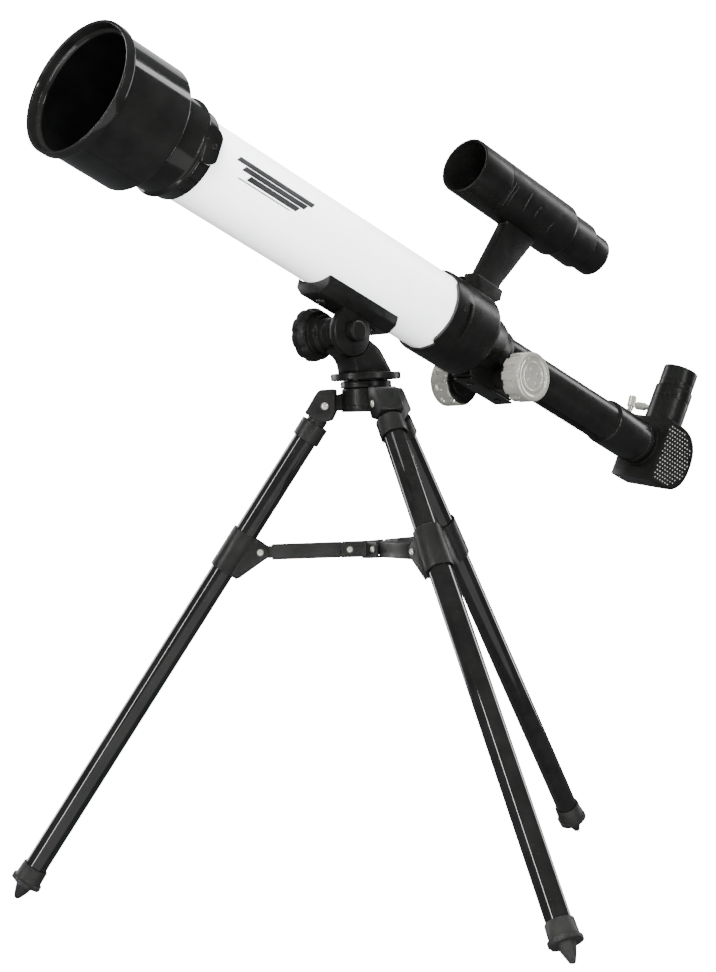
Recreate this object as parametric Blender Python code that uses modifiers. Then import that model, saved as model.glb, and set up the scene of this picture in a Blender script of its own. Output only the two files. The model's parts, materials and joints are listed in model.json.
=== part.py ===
"""Small refracting telescope with finder, diagonal and eyepiece on a folding table tripod.

World frame: metres, +Z up, origin on the table at the middle of the whole object's box.
The telescope looks up and to the -X, -Y side.
"""
import math

import bmesh
import bpy
from mathutils import Matrix, Vector

# ---------------------------------------------------------------- driving dimensions (metres)
AXIS_X = -0.0007                # the tripod's upright axis in the world frame
AXIS_Y = -0.0111
GAP = 0.0003                    # running gap left between neighbouring solids

# tripod
LEG_AZIMUTHS = {"a": 174.4, "b": 294.4, "c": 54.4}
LEG_PIN_RADIUS = 0.0281         # leg pins, from the upright axis
LEG_PIN_HEIGHT = 0.3345
FOOT_RADIUS = 0.260             # where the feet touch, from the upright axis
FOOT_TIP = 0.0025               # radius of the rubber tip
FOOT_FLAT = 0.0005              # how far the tip is cut flat
LEG_TUBE = 0.00805              # leg tube outer radius
LEG_WALL = 0.0010
COLLAR = 0.0097                 # ferrule and brace sleeve outer radius
CHEEK = 0.0084                  # half width of the leg clevis
LUG_HALF = 0.0030               # half thickness of a hub lug
RIVET = 0.0020                  # rivet shank radius
RIVET_HEAD = 0.0026
BRACE_PIN_DOWN = 0.1087         # brace pin, along the leg from the leg pin
BRACE_PIN_IN = 0.0161           # brace pin, inside the leg's axis
HUB_PIN_RADIUS = 0.0149         # brace hub pins, from the upright axis
ARM_HALF = 0.0049               # half width of a brace arm channel
ARM_HEIGHT = 0.0106
SLOT_HALF = 0.0053              # half width of the slots in the brace hub

# pan and tilt head
HUB_RADIUS = 0.0168
HUB_BOTTOM = 0.3300
HUB_TOP = 0.3460
RING_TOP = 0.3508
DISC_RADIUS = 0.0240
DISC_BOTTOM = 0.3516
DISC_TOP = 0.3562
TELESCOPE_AZIMUTH = 225.85      # direction the telescope looks
ELEVATION = 22.97
TILT_FORWARD = 0.0203           # tilt pin in front of the upright axis
TILT_HEIGHT = 0.3840
EAR_RADIUS = 0.0170
TONGUE_RADIUS = 0.0110
TONGUE = (-0.0040, 0.0035)      # the tongue's faces along the tilt pin
HEAD_HALF = 0.00965             # half width of the post and of the saddle's ear

# optical tube, measured along its axis from the tilt pin's foot, + towards the sky
AXIS_LIFT = 0.04885             # optical axis above the tilt pin
TUBE = 0.0286
TUBE_WALL = 0.0012
TUBE_REAR, TUBE_FRONT = -0.098, 0.190
MOUTH = 0.2617
HOOD_REAR = 0.2040
HOOD = 0.0430
HOOD_RIM = 0.0456
SADDLE_HALF = 0.0152
SADDLE_REAR, SADDLE_FRONT = -0.0323, 0.0377
SADDLE_BOTTOM = 0.0370          # below the optical axis

# focuser and diagonal
DRAW = 0.0153
DRAW_BORE = 0.0156
HOLDER_FRONT, HOLDER_REAR = -0.2830, -0.3275
PINION_Z = -0.1498
PINION_DROP = 0.0212
KNOB = 0.0178
BEND_Z = -0.3490                # centre of the mirror
DIAGONAL_ROLL = 9.0             # the diagonal leans to the near side
BOX_HALF = 0.0200
EYE_TUBE = 0.0150
BARREL = 0.0122                 # 24.5 mm eyepiece barrel

# finder
FINDER_LIFT = 0.1138            # finder axis above the optical axis
FINDER = 0.0210
FINDER_FRONT = -0.0733

LEG_TILT = math.atan2(FOOT_RADIUS - LEG_PIN_RADIUS, LEG_PIN_HEIGHT)
BRACE_PIN_R = (LEG_PIN_RADIUS + BRACE_PIN_DOWN * math.sin(LEG_TILT)
               - BRACE_PIN_IN * math.cos(LEG_TILT))
BRACE_PIN_Z = (LEG_PIN_HEIGHT - BRACE_PIN_DOWN * math.cos(LEG_TILT)
               - BRACE_PIN_IN * math.sin(LEG_TILT))
ARM_LENGTH = BRACE_PIN_R - HUB_PIN_RADIUS
TIP_DOWN = (LEG_PIN_HEIGHT - FOOT_TIP + FOOT_FLAT) / math.cos(LEG_TILT)

X, Y, Z = Vector((1, 0, 0)), Vector((0, 1, 0)), Vector((0, 0, 1))


# ---------------------------------------------------------------- scene helpers
def clear_scene():
    for old in list(bpy.context.scene.objects):
        bpy.data.objects.remove(old, do_unlink=True)


def new_collection(name):
    collection = bpy.data.collections.new(name)
    bpy.context.scene.collection.children.link(collection)
    return collection


clear_scene()
PARTS = new_collection("telescope_on_tripod")
GUIDES = new_collection("guides")


def material(name, colour, roughness, metallic=0.0, alpha=1.0):
    made = bpy.data.materials.get(name) or bpy.data.materials.new(name)
    made.use_nodes = True
    shader = made.node_tree.nodes["Principled BSDF"]
    shader.inputs["Base Color"].default_value = (*colour, 1.0)
    shader.inputs["Roughness"].default_value = roughness
    shader.inputs["Metallic"].default_value = metallic
    shader.inputs["Alpha"].default_value = alpha
    return made


GLOSS_BLACK = ("gloss_black", (0.015, 0.015, 0.015), 0.15)
SATIN_BLACK = ("satin_black", (0.02, 0.02, 0.02), 0.4)
LEG_BLACK = ("leg_black", (0.012, 0.012, 0.012), 0.2, 0.6)
CHARCOAL = ("charcoal", (0.035, 0.036, 0.037), 0.45)
BRACE_STEEL = ("brace_steel", (0.03, 0.03, 0.032), 0.4, 0.5)
NICKEL = ("nickel", (0.78, 0.77, 0.72), 0.22, 1.0)
WHITE = ("tube_white", (0.82, 0.84, 0.83), 0.2)
GLASS = ("lens_glass", (0.85, 0.9, 0.95), 0.02, 0.0, 0.35)
MIRROR = ("mirror", (0.9, 0.9, 0.92), 0.03, 1.0)
RUBBER = ("rubber", (0.02, 0.02, 0.02), 0.8)


def empty(name, parent=None, location=(0, 0, 0), rotation=(0, 0, 0)):
    made = bpy.data.objects.new(name, None)
    made.empty_display_size = 0.02
    GUIDES.objects.link(made)
    made.parent = parent
    made.location = location
    made.rotation_euler = [math.radians(a) for a in rotation]
    return made


def link(name, mesh, look, parent, location=(0, 0, 0), rotation=(0, 0, 0)):
    """Adds a mesh as a part, or as a hidden cutter when it has no look."""
    made = bpy.data.objects.new(name, mesh)
    if look is None:
        GUIDES.objects.link(made)
        made.hide_render = True
        made.display_type = 'WIRE'
    else:
        PARTS.objects.link(made)
        mesh.materials.append(material(name + "_" + look[0], *look[1:]))
    mesh.shade_smooth()
    mesh.set_sharp_from_angle(angle=math.radians(35))
    made.parent = parent
    made.location = location
    made.rotation_euler = [math.radians(a) for a in rotation]
    return made


def finish_mesh(name, bm):
    mesh = bpy.data.meshes.new(name)
    bmesh.ops.recalc_face_normals(bm, faces=bm.faces)
    bm.to_mesh(mesh)
    bm.free()
    return mesh


def boolean(target, tool, operation):
    step = target.modifiers.new(operation.lower(), 'BOOLEAN')
    step.operation = operation
    step.solver = 'EXACT'
    step.object = tool
    return target


def cut(target, *tools):
    for tool in tools:
        boolean(target, tool, 'DIFFERENCE')
    return target


def weld(target, *tools):
    for tool in tools:
        boolean(target, tool, 'UNION')
    return target


def rounded(target, width, segments=2):
    step = target.modifiers.new("rounded", 'BEVEL')
    step.width = width
    step.segments = segments
    step.limit_method = 'ANGLE'
    step.angle_limit = math.radians(40)
    return target


# ---------------------------------------------------------------- shape helpers
def turned(name, profile, look, parent, steps=28, closed=False, **place):
    """Profile points are (radius, z), down the outer side first."""
    mesh = bpy.data.meshes.new(name)
    points = [(r, 0.0, z) for r, z in profile]
    edges = [(i, i + 1) for i in range(len(points) - 1)]
    if closed:
        edges.append((len(points) - 1, 0))
    mesh.from_pydata(points, edges, [])
    made = link(name, mesh, look, parent, **place)
    step = made.modifiers.new("turn", 'SCREW')
    step.axis = 'Z'
    step.angle = 2 * math.pi
    step.screw_offset = 0
    step.steps = step.render_steps = steps
    step.use_merge_vertices = True
    step.merge_threshold = 0.00001
    step.use_smooth_shade = True
    return made


def tube(name, outer, inner, low, high, look, parent, steps=32, **place):
    profile = [(outer, high), (outer, low), (inner, low), (inner, high)]
    return turned(name, profile, look, parent, steps, True, **place)


def rod(name, radius, start, end, look, parent, segments=24, end_radius=None, **place):
    """A cylinder or cone between two points of the parent's frame."""
    start, end = Vector(start), Vector(end)
    run = end - start
    turn = Z.rotation_difference(run.normalized()).to_matrix().to_4x4()
    bm = bmesh.new()
    bmesh.ops.create_cone(bm, cap_ends=True, segments=segments, radius1=radius,
                          radius2=radius if end_radius is None else end_radius,
                          depth=run.length,
                          matrix=Matrix.Translation((start + end) / 2) @ turn)
    return link(name, finish_mesh(name, bm), look, parent, **place)


def block(name, low, high, look, parent, **place):
    low, high = Vector(low), Vector(high)
    size = high - low
    bm = bmesh.new()
    bmesh.ops.create_cube(bm, size=1.0, matrix=Matrix.Translation((low + high) / 2)
                          @ Matrix.Diagonal((*size, 1.0)))
    return link(name, finish_mesh(name, bm), look, parent, **place)


def plate(name, outline, low, high, plane, look, parent, **place):
    """A flat outline swept from low to high; plane says where the outline's axes point."""
    curve = bpy.data.curves.new(name, 'CURVE')
    curve.dimensions = '2D'
    curve.fill_mode = 'BOTH'
    curve.extrude = (high - low) / 2
    spline = curve.splines.new('POLY')
    spline.points.add(len(outline) - 1)
    for point, (a, b) in zip(spline.points, outline):
        point.co = (a, b, 0, 1)
    spline.use_cyclic_u = True
    sketch = bpy.data.objects.new(name + "_sketch", curve)
    bpy.context.scene.collection.objects.link(sketch)
    bpy.context.view_layer.update()
    depsgraph = bpy.context.evaluated_depsgraph_get()
    mesh = bpy.data.meshes.new_from_object(sketch.evaluated_get(depsgraph))
    bpy.data.objects.remove(sketch, do_unlink=True)
    mesh.name = name
    across, up = plane
    turn = Matrix((across, up, across.cross(up))).transposed().to_4x4()
    bm = bmesh.new()
    bm.from_mesh(mesh)
    bmesh.ops.remove_doubles(bm, verts=bm.verts, dist=0.000001)
    bmesh.ops.translate(bm, verts=bm.verts, vec=(0, 0, (low + high) / 2))
    bmesh.ops.transform(bm, matrix=turn, verts=bm.verts)
    bmesh.ops.recalc_face_normals(bm, faces=bm.faces)
    bm.to_mesh(mesh)
    bm.free()
    return link(name, mesh, look, parent, **place)


def arc(centre, radius, start, end, count):
    """Points on an arc, angles in degrees."""
    return [(centre[0] + radius * math.cos(math.radians(start + (end - start) * i / count)),
             centre[1] + radius * math.sin(math.radians(start + (end - start) * i / count)))
            for i in range(count + 1)]


def rivet(name, half, look, parent, centre, axis=Y):
    """A domed rivet across a joint: shank and two low heads."""
    centre = Vector(centre)
    dome = [(0.0, half + 0.0013), (RIVET_HEAD * 0.55, half + 0.0011),
            (RIVET_HEAD * 0.9, half + 0.0006), (RIVET_HEAD, half + GAP), (RIVET, half + GAP)]
    mirrored = [(r, -z) for r, z in reversed(dome)]
    turn = Z.rotation_difference(axis).to_euler()
    made = turned(name, dome + mirrored, look, parent, steps=12, location=centre)
    made.rotation_euler = turn
    return made


# ---------------------------------------------------------------- tripod
def hub(axis):
    """The fixed head of the tripod, with three lugs for the legs."""
    skirt = HUB_BOTTOM + 0.0016
    body = turned("hub_body", [(HUB_RADIUS - 0.0008, HUB_TOP), (HUB_RADIUS, HUB_TOP - 0.0008),
                               (HUB_RADIUS, skirt + 0.0006), (HUB_RADIUS + 0.0005, skirt),
                               (HUB_RADIUS + 0.0003, HUB_BOTTOM), (0.0110, HUB_BOTTOM),
                               (0.0110, HUB_BOTTOM + 0.0060), (0.0033, HUB_BOTTOM + 0.0060),
                               (0.0033, HUB_TOP)],
                  SATIN_BLACK, axis, closed=True)
    for key, azimuth in LEG_AZIMUTHS.items():
        turn = (0, 0, azimuth)
        outline = ([(HUB_RADIUS - 0.003, HUB_BOTTOM + 0.0012),
                    (LEG_PIN_RADIUS - 0.002, HUB_BOTTOM + 0.0012)]
                   + arc((LEG_PIN_RADIUS, LEG_PIN_HEIGHT), 0.0048, -45, 80, 4)
                   + [(HUB_RADIUS - 0.003, HUB_TOP - 0.0020)])
        lug = plate("hub_lug_" + key, outline, -LUG_HALF, LUG_HALF, (X, Z), None, axis, rotation=turn)
        hole = rod("hub_lug_hole_" + key, RIVET + GAP, (LEG_PIN_RADIUS, -0.01, LEG_PIN_HEIGHT),
                   (LEG_PIN_RADIUS, 0.01, LEG_PIN_HEIGHT), None, axis, 12, rotation=turn)
        weld(body, lug)
        cut(body, hole)
    turned("hub_ring", [(HUB_RADIUS, RING_TOP), (HUB_RADIUS + 0.0006, RING_TOP - 0.0006),
                        (HUB_RADIUS + 0.0006, HUB_TOP + GAP), (0.0033, HUB_TOP + GAP),
                        (0.0033, RING_TOP)],
           GLOSS_BLACK, axis, closed=True)
    bolt = rod("pan_bolt", 0.0030, (0, 0, HUB_BOTTOM + 0.003), (0, 0, DISC_BOTTOM + 0.0032), NICKEL,
               axis, 16)
    head = rod("pan_bolt_head", 0.0058, (0, 0, HUB_BOTTOM + 0.0012),
               (0, 0, HUB_BOTTOM + 0.0060 - GAP), None, axis, 6)
    weld(bolt, head)


def leg(key, azimuth, axis):
    """One leg: clevis with ferrule, tube, brace sleeve, foot and its two rivets."""
    turn = math.radians(azimuth)
    pin = empty("leg_" + key + "_pin", axis,
                (LEG_PIN_RADIUS * math.cos(turn), LEG_PIN_RADIUS * math.sin(turn), LEG_PIN_HEIGHT),
                (0, -math.degrees(LEG_TILT), azimuth))
    name = "leg_" + key + "_"

    outline = ([(-0.0085, -0.0060), (-0.0030, -0.0114), (0.0093, -0.0114), (0.0098, 0.0020)]
               + arc((0.0045, 0.0045), 0.0052, 0, 62, 4)
               + [(0.0008, 0.0137), (-0.0076, 0.0010)])
    clevis = plate(name + "clevis", outline, -CHEEK, CHEEK, (X, Z), CHARCOAL, pin)
    ferrule_top, ferrule_end = -0.0140, -0.0270
    neck = rod(name + "neck", 0.0068, (0, 0, -0.0060), (0, 0, ferrule_top - 0.002), None, pin, 20)
    seat = ferrule_top - 0.0030
    ferrule = turned(name + "ferrule", [(0.0040, ferrule_top), (COLLAR, ferrule_top),
                                        (COLLAR, ferrule_end), (LEG_TUBE + GAP, ferrule_end),
                                        (LEG_TUBE + GAP, seat), (0.0040, seat)], None, pin, 20, True)
    slot_low = [(-0.02, -0.0150), (-0.0018, -0.0072), (0.0056, -0.0040), (0.0060, 0.0040),
                (0.0040, 0.0140), (-0.02, 0.0200)]
    slot = plate(name + "slot", slot_low, -LUG_HALF - 0.0004, LUG_HALF + 0.0004, (X, Z), None, pin)
    hole = rod(name + "clevis_hole", RIVET + GAP, (0, -0.02, 0), (0, 0.02, 0), None, pin, 12)
    cut(weld(clevis, neck, ferrule), slot, hole)
    rivet(name + "pivot_rivet", CHEEK, NICKEL, pin, (0, 0, 0))

    tube(name + "tube", LEG_TUBE, LEG_TUBE - LEG_WALL, -TIP_DOWN + 0.0170, ferrule_top - 0.0033,
         LEG_BLACK, pin, 20)

    sleeve_top, sleeve_end = -0.1028, -0.1336
    sleeve = turned(name + "sleeve", [(COLLAR - 0.0004, sleeve_top), (COLLAR, sleeve_top - 0.0004),
                                      (COLLAR, sleeve_end + 0.0004), (COLLAR - 0.0004, sleeve_end),
                                      (LEG_TUBE + GAP, sleeve_end), (LEG_TUBE + GAP, sleeve_top)],
                    CHARCOAL, pin, 20, True)
    web = ([(-0.0070, sleeve_end), (-0.0120, sleeve_end)]
           + arc((-BRACE_PIN_IN, -BRACE_PIN_DOWN), 0.0056, 215, 95, 5) + [(-0.0070, sleeve_top)])
    gusset = plate(name + "gusset", web, -0.0064, 0.0064, (X, Z), None, pin)
    bore = rod(name + "sleeve_bore", LEG_TUBE + GAP, (0, 0, sleeve_end - 0.01),
               (0, 0, sleeve_top + 0.01), None, pin, 20)
    mouth = block(name + "gusset_mouth", (-0.05, -SLOT_HALF, sleeve_end - 0.01),
                  (-COLLAR - 0.0002, SLOT_HALF, sleeve_top + 0.01), None, pin)
    brace_hole = rod(name + "brace_hole", RIVET * 0.8 + GAP, (-BRACE_PIN_IN, -0.02, -BRACE_PIN_DOWN),
                     (-BRACE_PIN_IN, 0.02, -BRACE_PIN_DOWN), None, pin, 12)
    cut(weld(sleeve, gusset), mouth, bore, brace_hole)

    foot = turned(name + "foot", foot_profile(), RUBBER, pin, 16)
    foot_bore = rod(name + "foot_bore", LEG_TUBE + GAP, (0, 0, -TIP_DOWN + 0.0167),
                    (0, 0, -TIP_DOWN + 0.05), None, pin, 16)
    floor = block(name + "foot_flat", (FOOT_RADIUS - 0.02, -0.02, -0.02), (FOOT_RADIUS + 0.02, 0.02, 0),
                  None, axis, rotation=(0, 0, azimuth))
    cut(foot, foot_bore, floor)

    brace_pin = empty(name + "brace_pin", pin, (-BRACE_PIN_IN, 0, -BRACE_PIN_DOWN),
                      (0, math.degrees(LEG_TILT), 0))
    stud = rod(name + "brace_rivet", RIVET * 0.8, (0, -0.0072, 0), (0, 0.0072, 0), NICKEL, brace_pin, 12)
    for side in (-1, 1):
        head = rod(name + "brace_rivet_head", RIVET_HEAD, (0, side * (0.0064 + GAP), 0),
                   (0, side * 0.0078, 0), None, brace_pin, 12, RIVET_HEAD * 0.7)
        weld(stud, head)
    arm(key, brace_pin)


def foot_profile():
    """Cap, flange and cone of the rubber foot, in the leg's frame."""
    tip = -TIP_DOWN
    cap_top, flange_top, flange_low = tip + 0.0245, tip + 0.0135, tip + 0.0103
    points = [(0.0, cap_top), (0.0090, cap_top), (0.0094, cap_top - 0.0006), (0.0097, flange_top),
              (0.0112, flange_top), (0.0112, flange_low), (0.0062, flange_low), (0.0032, tip + 0.0012)]
    return points + arc((0.0, tip), FOOT_TIP, 0, -90, 4)


def arm(key, brace_pin):
    """A channel brace arm with a tongue at each end, hinged on the leg's brace pin."""
    half, wall = ARM_HEIGHT / 2, 0.0011
    start, end = -0.0078, -ARM_LENGTH + 0.0068
    channel = block("brace_arm_" + key, (end, -ARM_HALF, -half), (start, ARM_HALF, half),
                    BRACE_STEEL, brace_pin)
    inside = block("arm_inside_" + key, (end - 0.01, -ARM_HALF + wall, -half - 0.01),
                   (start + 0.01, ARM_HALF - wall, half - wall), None, brace_pin)
    outer_outline = arc((0, 0), 0.0041, 90, -90, 8) + [(-0.0100, -0.0041), (-0.0100, 0.0041)]
    outer = plate("arm_outer_" + key, outer_outline, -0.0040, 0.0040, (X, Z), None, brace_pin)
    inner_outline = (arc((-ARM_LENGTH, 0), 0.0030, 90, 270, 6)
                     + [(end + 0.002, -0.0030), (end + 0.002, 0.0030)])
    inner = plate("arm_inner_" + key, inner_outline, -0.0040, 0.0040, (X, Z), None, brace_pin)
    eye = rod("arm_eye_" + key, RIVET * 0.8 + GAP, (0, -0.02, 0), (0, 0.02, 0), None, brace_pin, 12)
    weld(cut(channel, inside), outer, inner)
    cut(channel, eye)


def brace_hub(axis):
    """Three bent cheeks round the upright axis, joined by a round web under the arms."""
    low, high = BRACE_PIN_Z - ARM_HEIGHT / 2, BRACE_PIN_Z + ARM_HEIGHT / 2
    reach, sheet, hub_corner = 0.0212, 0.0013, SLOT_HALF / math.sin(math.radians(60))
    web = rod("brace_hub", 0.0074, (0, 0, low - 0.0011), (0, 0, low + 0.0002), BRACE_STEEL, axis, 24)
    for key, azimuth in LEG_AZIMUTHS.items():
        along = reach - hub_corner * math.cos(math.radians(60))
        corner = Vector((hub_corner, 0))
        lean = math.radians(60)
        tip = corner + along * Vector((math.cos(lean), math.sin(lean)))
        inset = sheet * Vector((math.sin(lean), -math.cos(lean)))
        inner = Vector((hub_corner + sheet / math.sin(lean), 0))
        outline = [corner, tip, tip + inset, inner, Vector(((tip + inset).x, -(tip + inset).y)),
                   Vector((tip.x, -tip.y))]
        cheek = plate("brace_cheek_" + key, outline, low, high, (X, Y), None, axis,
                      rotation=(0, 0, azimuth + 60))
        weld(web, cheek)
        for side in (-1, 1):
            head = rod("brace_head_" + key, RIVET_HEAD,
                       (HUB_PIN_RADIUS, side * (SLOT_HALF + 0.0006), BRACE_PIN_Z),
                       (HUB_PIN_RADIUS, side * (SLOT_HALF + 0.0024), BRACE_PIN_Z),
                       None, axis, 12, RIVET_HEAD * 0.7, rotation=(0, 0, azimuth))
            weld(web, head)


# ---------------------------------------------------------------- pan and tilt head
def pan_post(pan):
    """Disc and leaning post that turn on the hub; local -Y is forward."""
    disc = turned("pan_post", [(0.0, DISC_TOP), (DISC_RADIUS - 0.0006, DISC_TOP),
                               (DISC_RADIUS, DISC_TOP - 0.0006), (DISC_RADIUS, DISC_BOTTOM + 0.0006),
                               (DISC_RADIUS - 0.0006, DISC_BOTTOM), (0.0, DISC_BOTTOM)],
                  SATIN_BLACK, pan, 28)
    collar = rod("pan_collar", 0.0150, (0, 0, RING_TOP + GAP), (0, 0, DISC_BOTTOM + 0.001), None, pan, 24)
    pin_y, pin_z = -TILT_FORWARD, TILT_HEIGHT
    outline = [(0.0175, DISC_TOP - 0.001), (0.0055, 0.3725), (-0.0060, 0.3795), (pin_y, pin_z),
               (-0.0290, 0.3710), (-0.0210, 0.3665), (-0.0180, 0.3610), (-0.0175, DISC_TOP - 0.001)]
    post = plate("post_body", outline, -HEAD_HALF, HEAD_HALF, (Y, Z), None, pan)
    rounded(post, 0.0012, 1)
    ear_room = rod("post_ear_room", EAR_RADIUS + 0.0004, (TONGUE[1] - 0.0002, pin_y, pin_z),
                   (0.02, pin_y, pin_z), None, pan, 32)
    hub_room = rod("post_hub_room", TONGUE_RADIUS + 0.0004, (-0.02, pin_y, pin_z),
                   (TONGUE[0] + 0.0002, pin_y, pin_z), None, pan, 28)
    tongue = rod("post_tongue", TONGUE_RADIUS - 0.0003, (TONGUE[0], pin_y, pin_z),
                 (TONGUE[1], pin_y, pin_z), None, pan, 24)
    tilt_hole = rod("post_tilt_hole", 0.0033, (-0.02, pin_y, pin_z), (0.02, pin_y, pin_z), None, pan, 16)
    pan_hole = rod("post_pan_hole", 0.0033, (0, 0, RING_TOP - 0.01), (0, 0, DISC_BOTTOM + 0.0036), None,
                   pan, 16)
    weld(disc, collar, post)
    cut(disc, ear_room, hub_room)
    weld(disc, tongue)
    cut(disc, tilt_hole, pan_hole)


def saddle(tilt):
    """Cradle under the tube with the ear that hangs from it; local Y is up, Z along the tube."""
    low, chamfer_y = AXIS_LIFT - SADDLE_BOTTOM, AXIS_LIFT - 0.0312
    top = AXIS_LIFT - 0.0200
    outline = [(-SADDLE_HALF, top), (-SADDLE_HALF, chamfer_y), (-0.0092, low), (0.0092, low),
               (SADDLE_HALF, chamfer_y), (SADDLE_HALF, top)]
    body = plate("saddle", outline, SADDLE_REAR, SADDLE_FRONT, (X, Y), SATIN_BLACK, tilt)
    seat = rod("saddle_seat", TUBE + GAP, (0, AXIS_LIFT, -0.06), (0, AXIS_LIFT, 0.06), None, tilt, 48)
    ear_top = low + 0.0010
    ear_outline = arc((0, 0), EAR_RADIUS, 40, -220, 26) + [(-0.0130, ear_top), (0.0130, ear_top)]
    ear = plate("saddle_ear", ear_outline, TONGUE[1] + GAP, HEAD_HALF, (Z * -1, Y), None, tilt)
    ear_hole = rod("saddle_ear_hole", 0.0033, (-0.03, 0, 0), (0.03, 0, 0), None, tilt, 18)
    weld(body, ear)
    cut(body, seat, ear_hole)
    for name, spot in (("saddle_screw_front", 0.0262), ("saddle_screw_rear", -0.0235)):
        hole = rod(name + "_hole", 0.0024, (0, low - 0.01, spot), (0, AXIS_LIFT - TUBE - 0.0016, spot),
                   None, tilt, 16)
        cut(body, hole)
        shank = rod(name, 0.0020, (0, low - 0.0010, spot), (0, AXIS_LIFT - TUBE - 0.0020, spot), NICKEL,
                    tilt, 16)
        head = rod(name + "_head", 0.0036, (0, low - 0.0020, spot), (0, low - GAP, spot), None, tilt, 20)
        weld(shank, head)


def tilt_clamp(tilt):
    """Bolt with a round cap on the near side and a lobed knob with a long hub on the far side."""
    bolt = rod("tilt_bolt", 0.0030, (-0.0255, 0, 0), (HEAD_HALF + 0.001, 0, 0), NICKEL, tilt, 20)
    cap = turned("tilt_cap", [(0.0, 0.0162), (0.0062, 0.0162), (0.0072, 0.0152), (0.0074, HEAD_HALF + GAP),
                              (0.0, HEAD_HALF + GAP)], SATIN_BLACK, tilt, 28, rotation=(0, 90, 0))
    cap_hole = rod("tilt_cap_hole", 0.0030 + GAP, (0, 0, 0), (HEAD_HALF + 0.001 + GAP, 0, 0), None,
                   tilt, 20)
    cut(cap, cap_hole)
    face, back, outer = -0.0250, -0.0332, 0.0184
    collar = TONGUE_RADIUS - 0.0003
    knob = turned("tilt_knob", [(0.0, -0.0043), (collar, -0.0043), (collar, -0.0150), (0.0128, -0.0160),
                                (0.0128, -0.0215), (0.0165, -0.0222), (outer - 0.0006, face),
                                (outer, face - 0.0012), (outer, back + 0.0015), (outer - 0.0014, back),
                                (0.0, back)], SATIN_BLACK, tilt, 30, rotation=(0, 90, 0))
    bore = rod("tilt_knob_bore", 0.0030 + GAP, (-0.0258, 0, 0), (0, 0, 0), None, tilt, 20)
    cut(knob, bore)
    for step in range(10):
        angle = math.radians(36 * step + 18)
        centre = Vector((0, math.cos(angle), math.sin(angle))) * (outer + 0.0034)
        notch = rod("tilt_knob_notch", 0.0042, centre + X * (back - 0.002), centre + X * (face - 0.0012),
                    None, tilt, 10)
        cut(knob, notch)


# ---------------------------------------------------------------- optical tube
def optical_tube(optics):
    tube("main_tube", TUBE, TUBE - TUBE_WALL, TUBE_REAR, TUBE_FRONT, WHITE, optics, 40)
    seat = TUBE_FRONT + GAP
    cell = turned("lens_cell", [(0.0318, 0.2160), (0.0327, 0.2150), (0.0327, 0.1825), (0.0343, 0.1818),
                                (0.0343, 0.1800), (0.0320, 0.1795), (0.0312, 0.1690), (TUBE + GAP, 0.1690),
                                (TUBE + GAP, seat), (0.0250, seat), (0.0250, seat + 0.0035),
                                (0.0264, seat + 0.0035), (0.0264, 0.2160)],
                  GLOSS_BLACK, optics, 32, True)
    tab_turn = (0, 0, -3)
    tab = block("cell_tab", (0.0296, -0.0130, 0.1693), (0.0350, 0.0130, 0.1808), None, optics,
                rotation=tab_turn)
    rounded(tab, 0.0012, 1)
    tab_hole = rod("cell_tab_hole", 0.0018, (0.02, 0, 0.1752), (0.05, 0, 0.1752), None, optics, 16,
                   rotation=tab_turn)
    weld(cell, tab)
    cut(cell, tab_hole)
    screw = rod("cell_screw", 0.0015, (TUBE + 2 * GAP, 0, 0.1752), (0.0356, 0, 0.1752), NICKEL, optics, 16,
                rotation=tab_turn)
    screw_head = rod("cell_screw_head", 0.0024, (0.0350 + GAP, 0, 0.1752), (0.0364, 0, 0.1752), None,
                     optics, 20, 0.0019, rotation=tab_turn)
    weld(screw, screw_head)

    lens_low = seat + 0.0035 + GAP
    turned("objective_lens", dome_profile(0.0260, lens_low, lens_low + 0.0046, 0.0018, 0.0014),
           GLASS, optics, 28)
    ring_low = lens_low + 0.0046 + GAP
    tube("lens_ring", 0.0261, 0.0240, ring_low, ring_low + 0.0035, SATIN_BLACK, optics, 28)

    turned("dew_hood", [(HOOD_RIM - 0.0006, MOUTH), (HOOD_RIM, MOUTH - 0.0006), (HOOD_RIM, MOUTH - 0.0060),
                        (HOOD, MOUTH - 0.0078), (HOOD, HOOD_REAR + 0.0015), (HOOD - 0.0015, HOOD_REAR),
                        (0.0327 + GAP, HOOD_REAR), (0.0327 + GAP, HOOD_REAR + 0.0100),
                        (0.0352, HOOD_REAR + 0.0100), (0.0352, HOOD_REAR + 0.0030),
                        (0.0404, HOOD_REAR + 0.0030), (0.0404, MOUTH - 0.0120), (0.0436, MOUTH)],
           GLOSS_BLACK, optics, 36, True)


def dome_profile(radius, low, high, front, rear):
    """A lens from its edge: two shallow domes on a straight rim."""
    steps = 3
    points = [(radius * i / steps, high + front * (1 - (i / steps) ** 2)) for i in range(steps + 1)]
    points += [(radius * i / steps, low - rear * (1 - (i / steps) ** 2)) for i in range(steps, -1, -1)]
    return points


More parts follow.
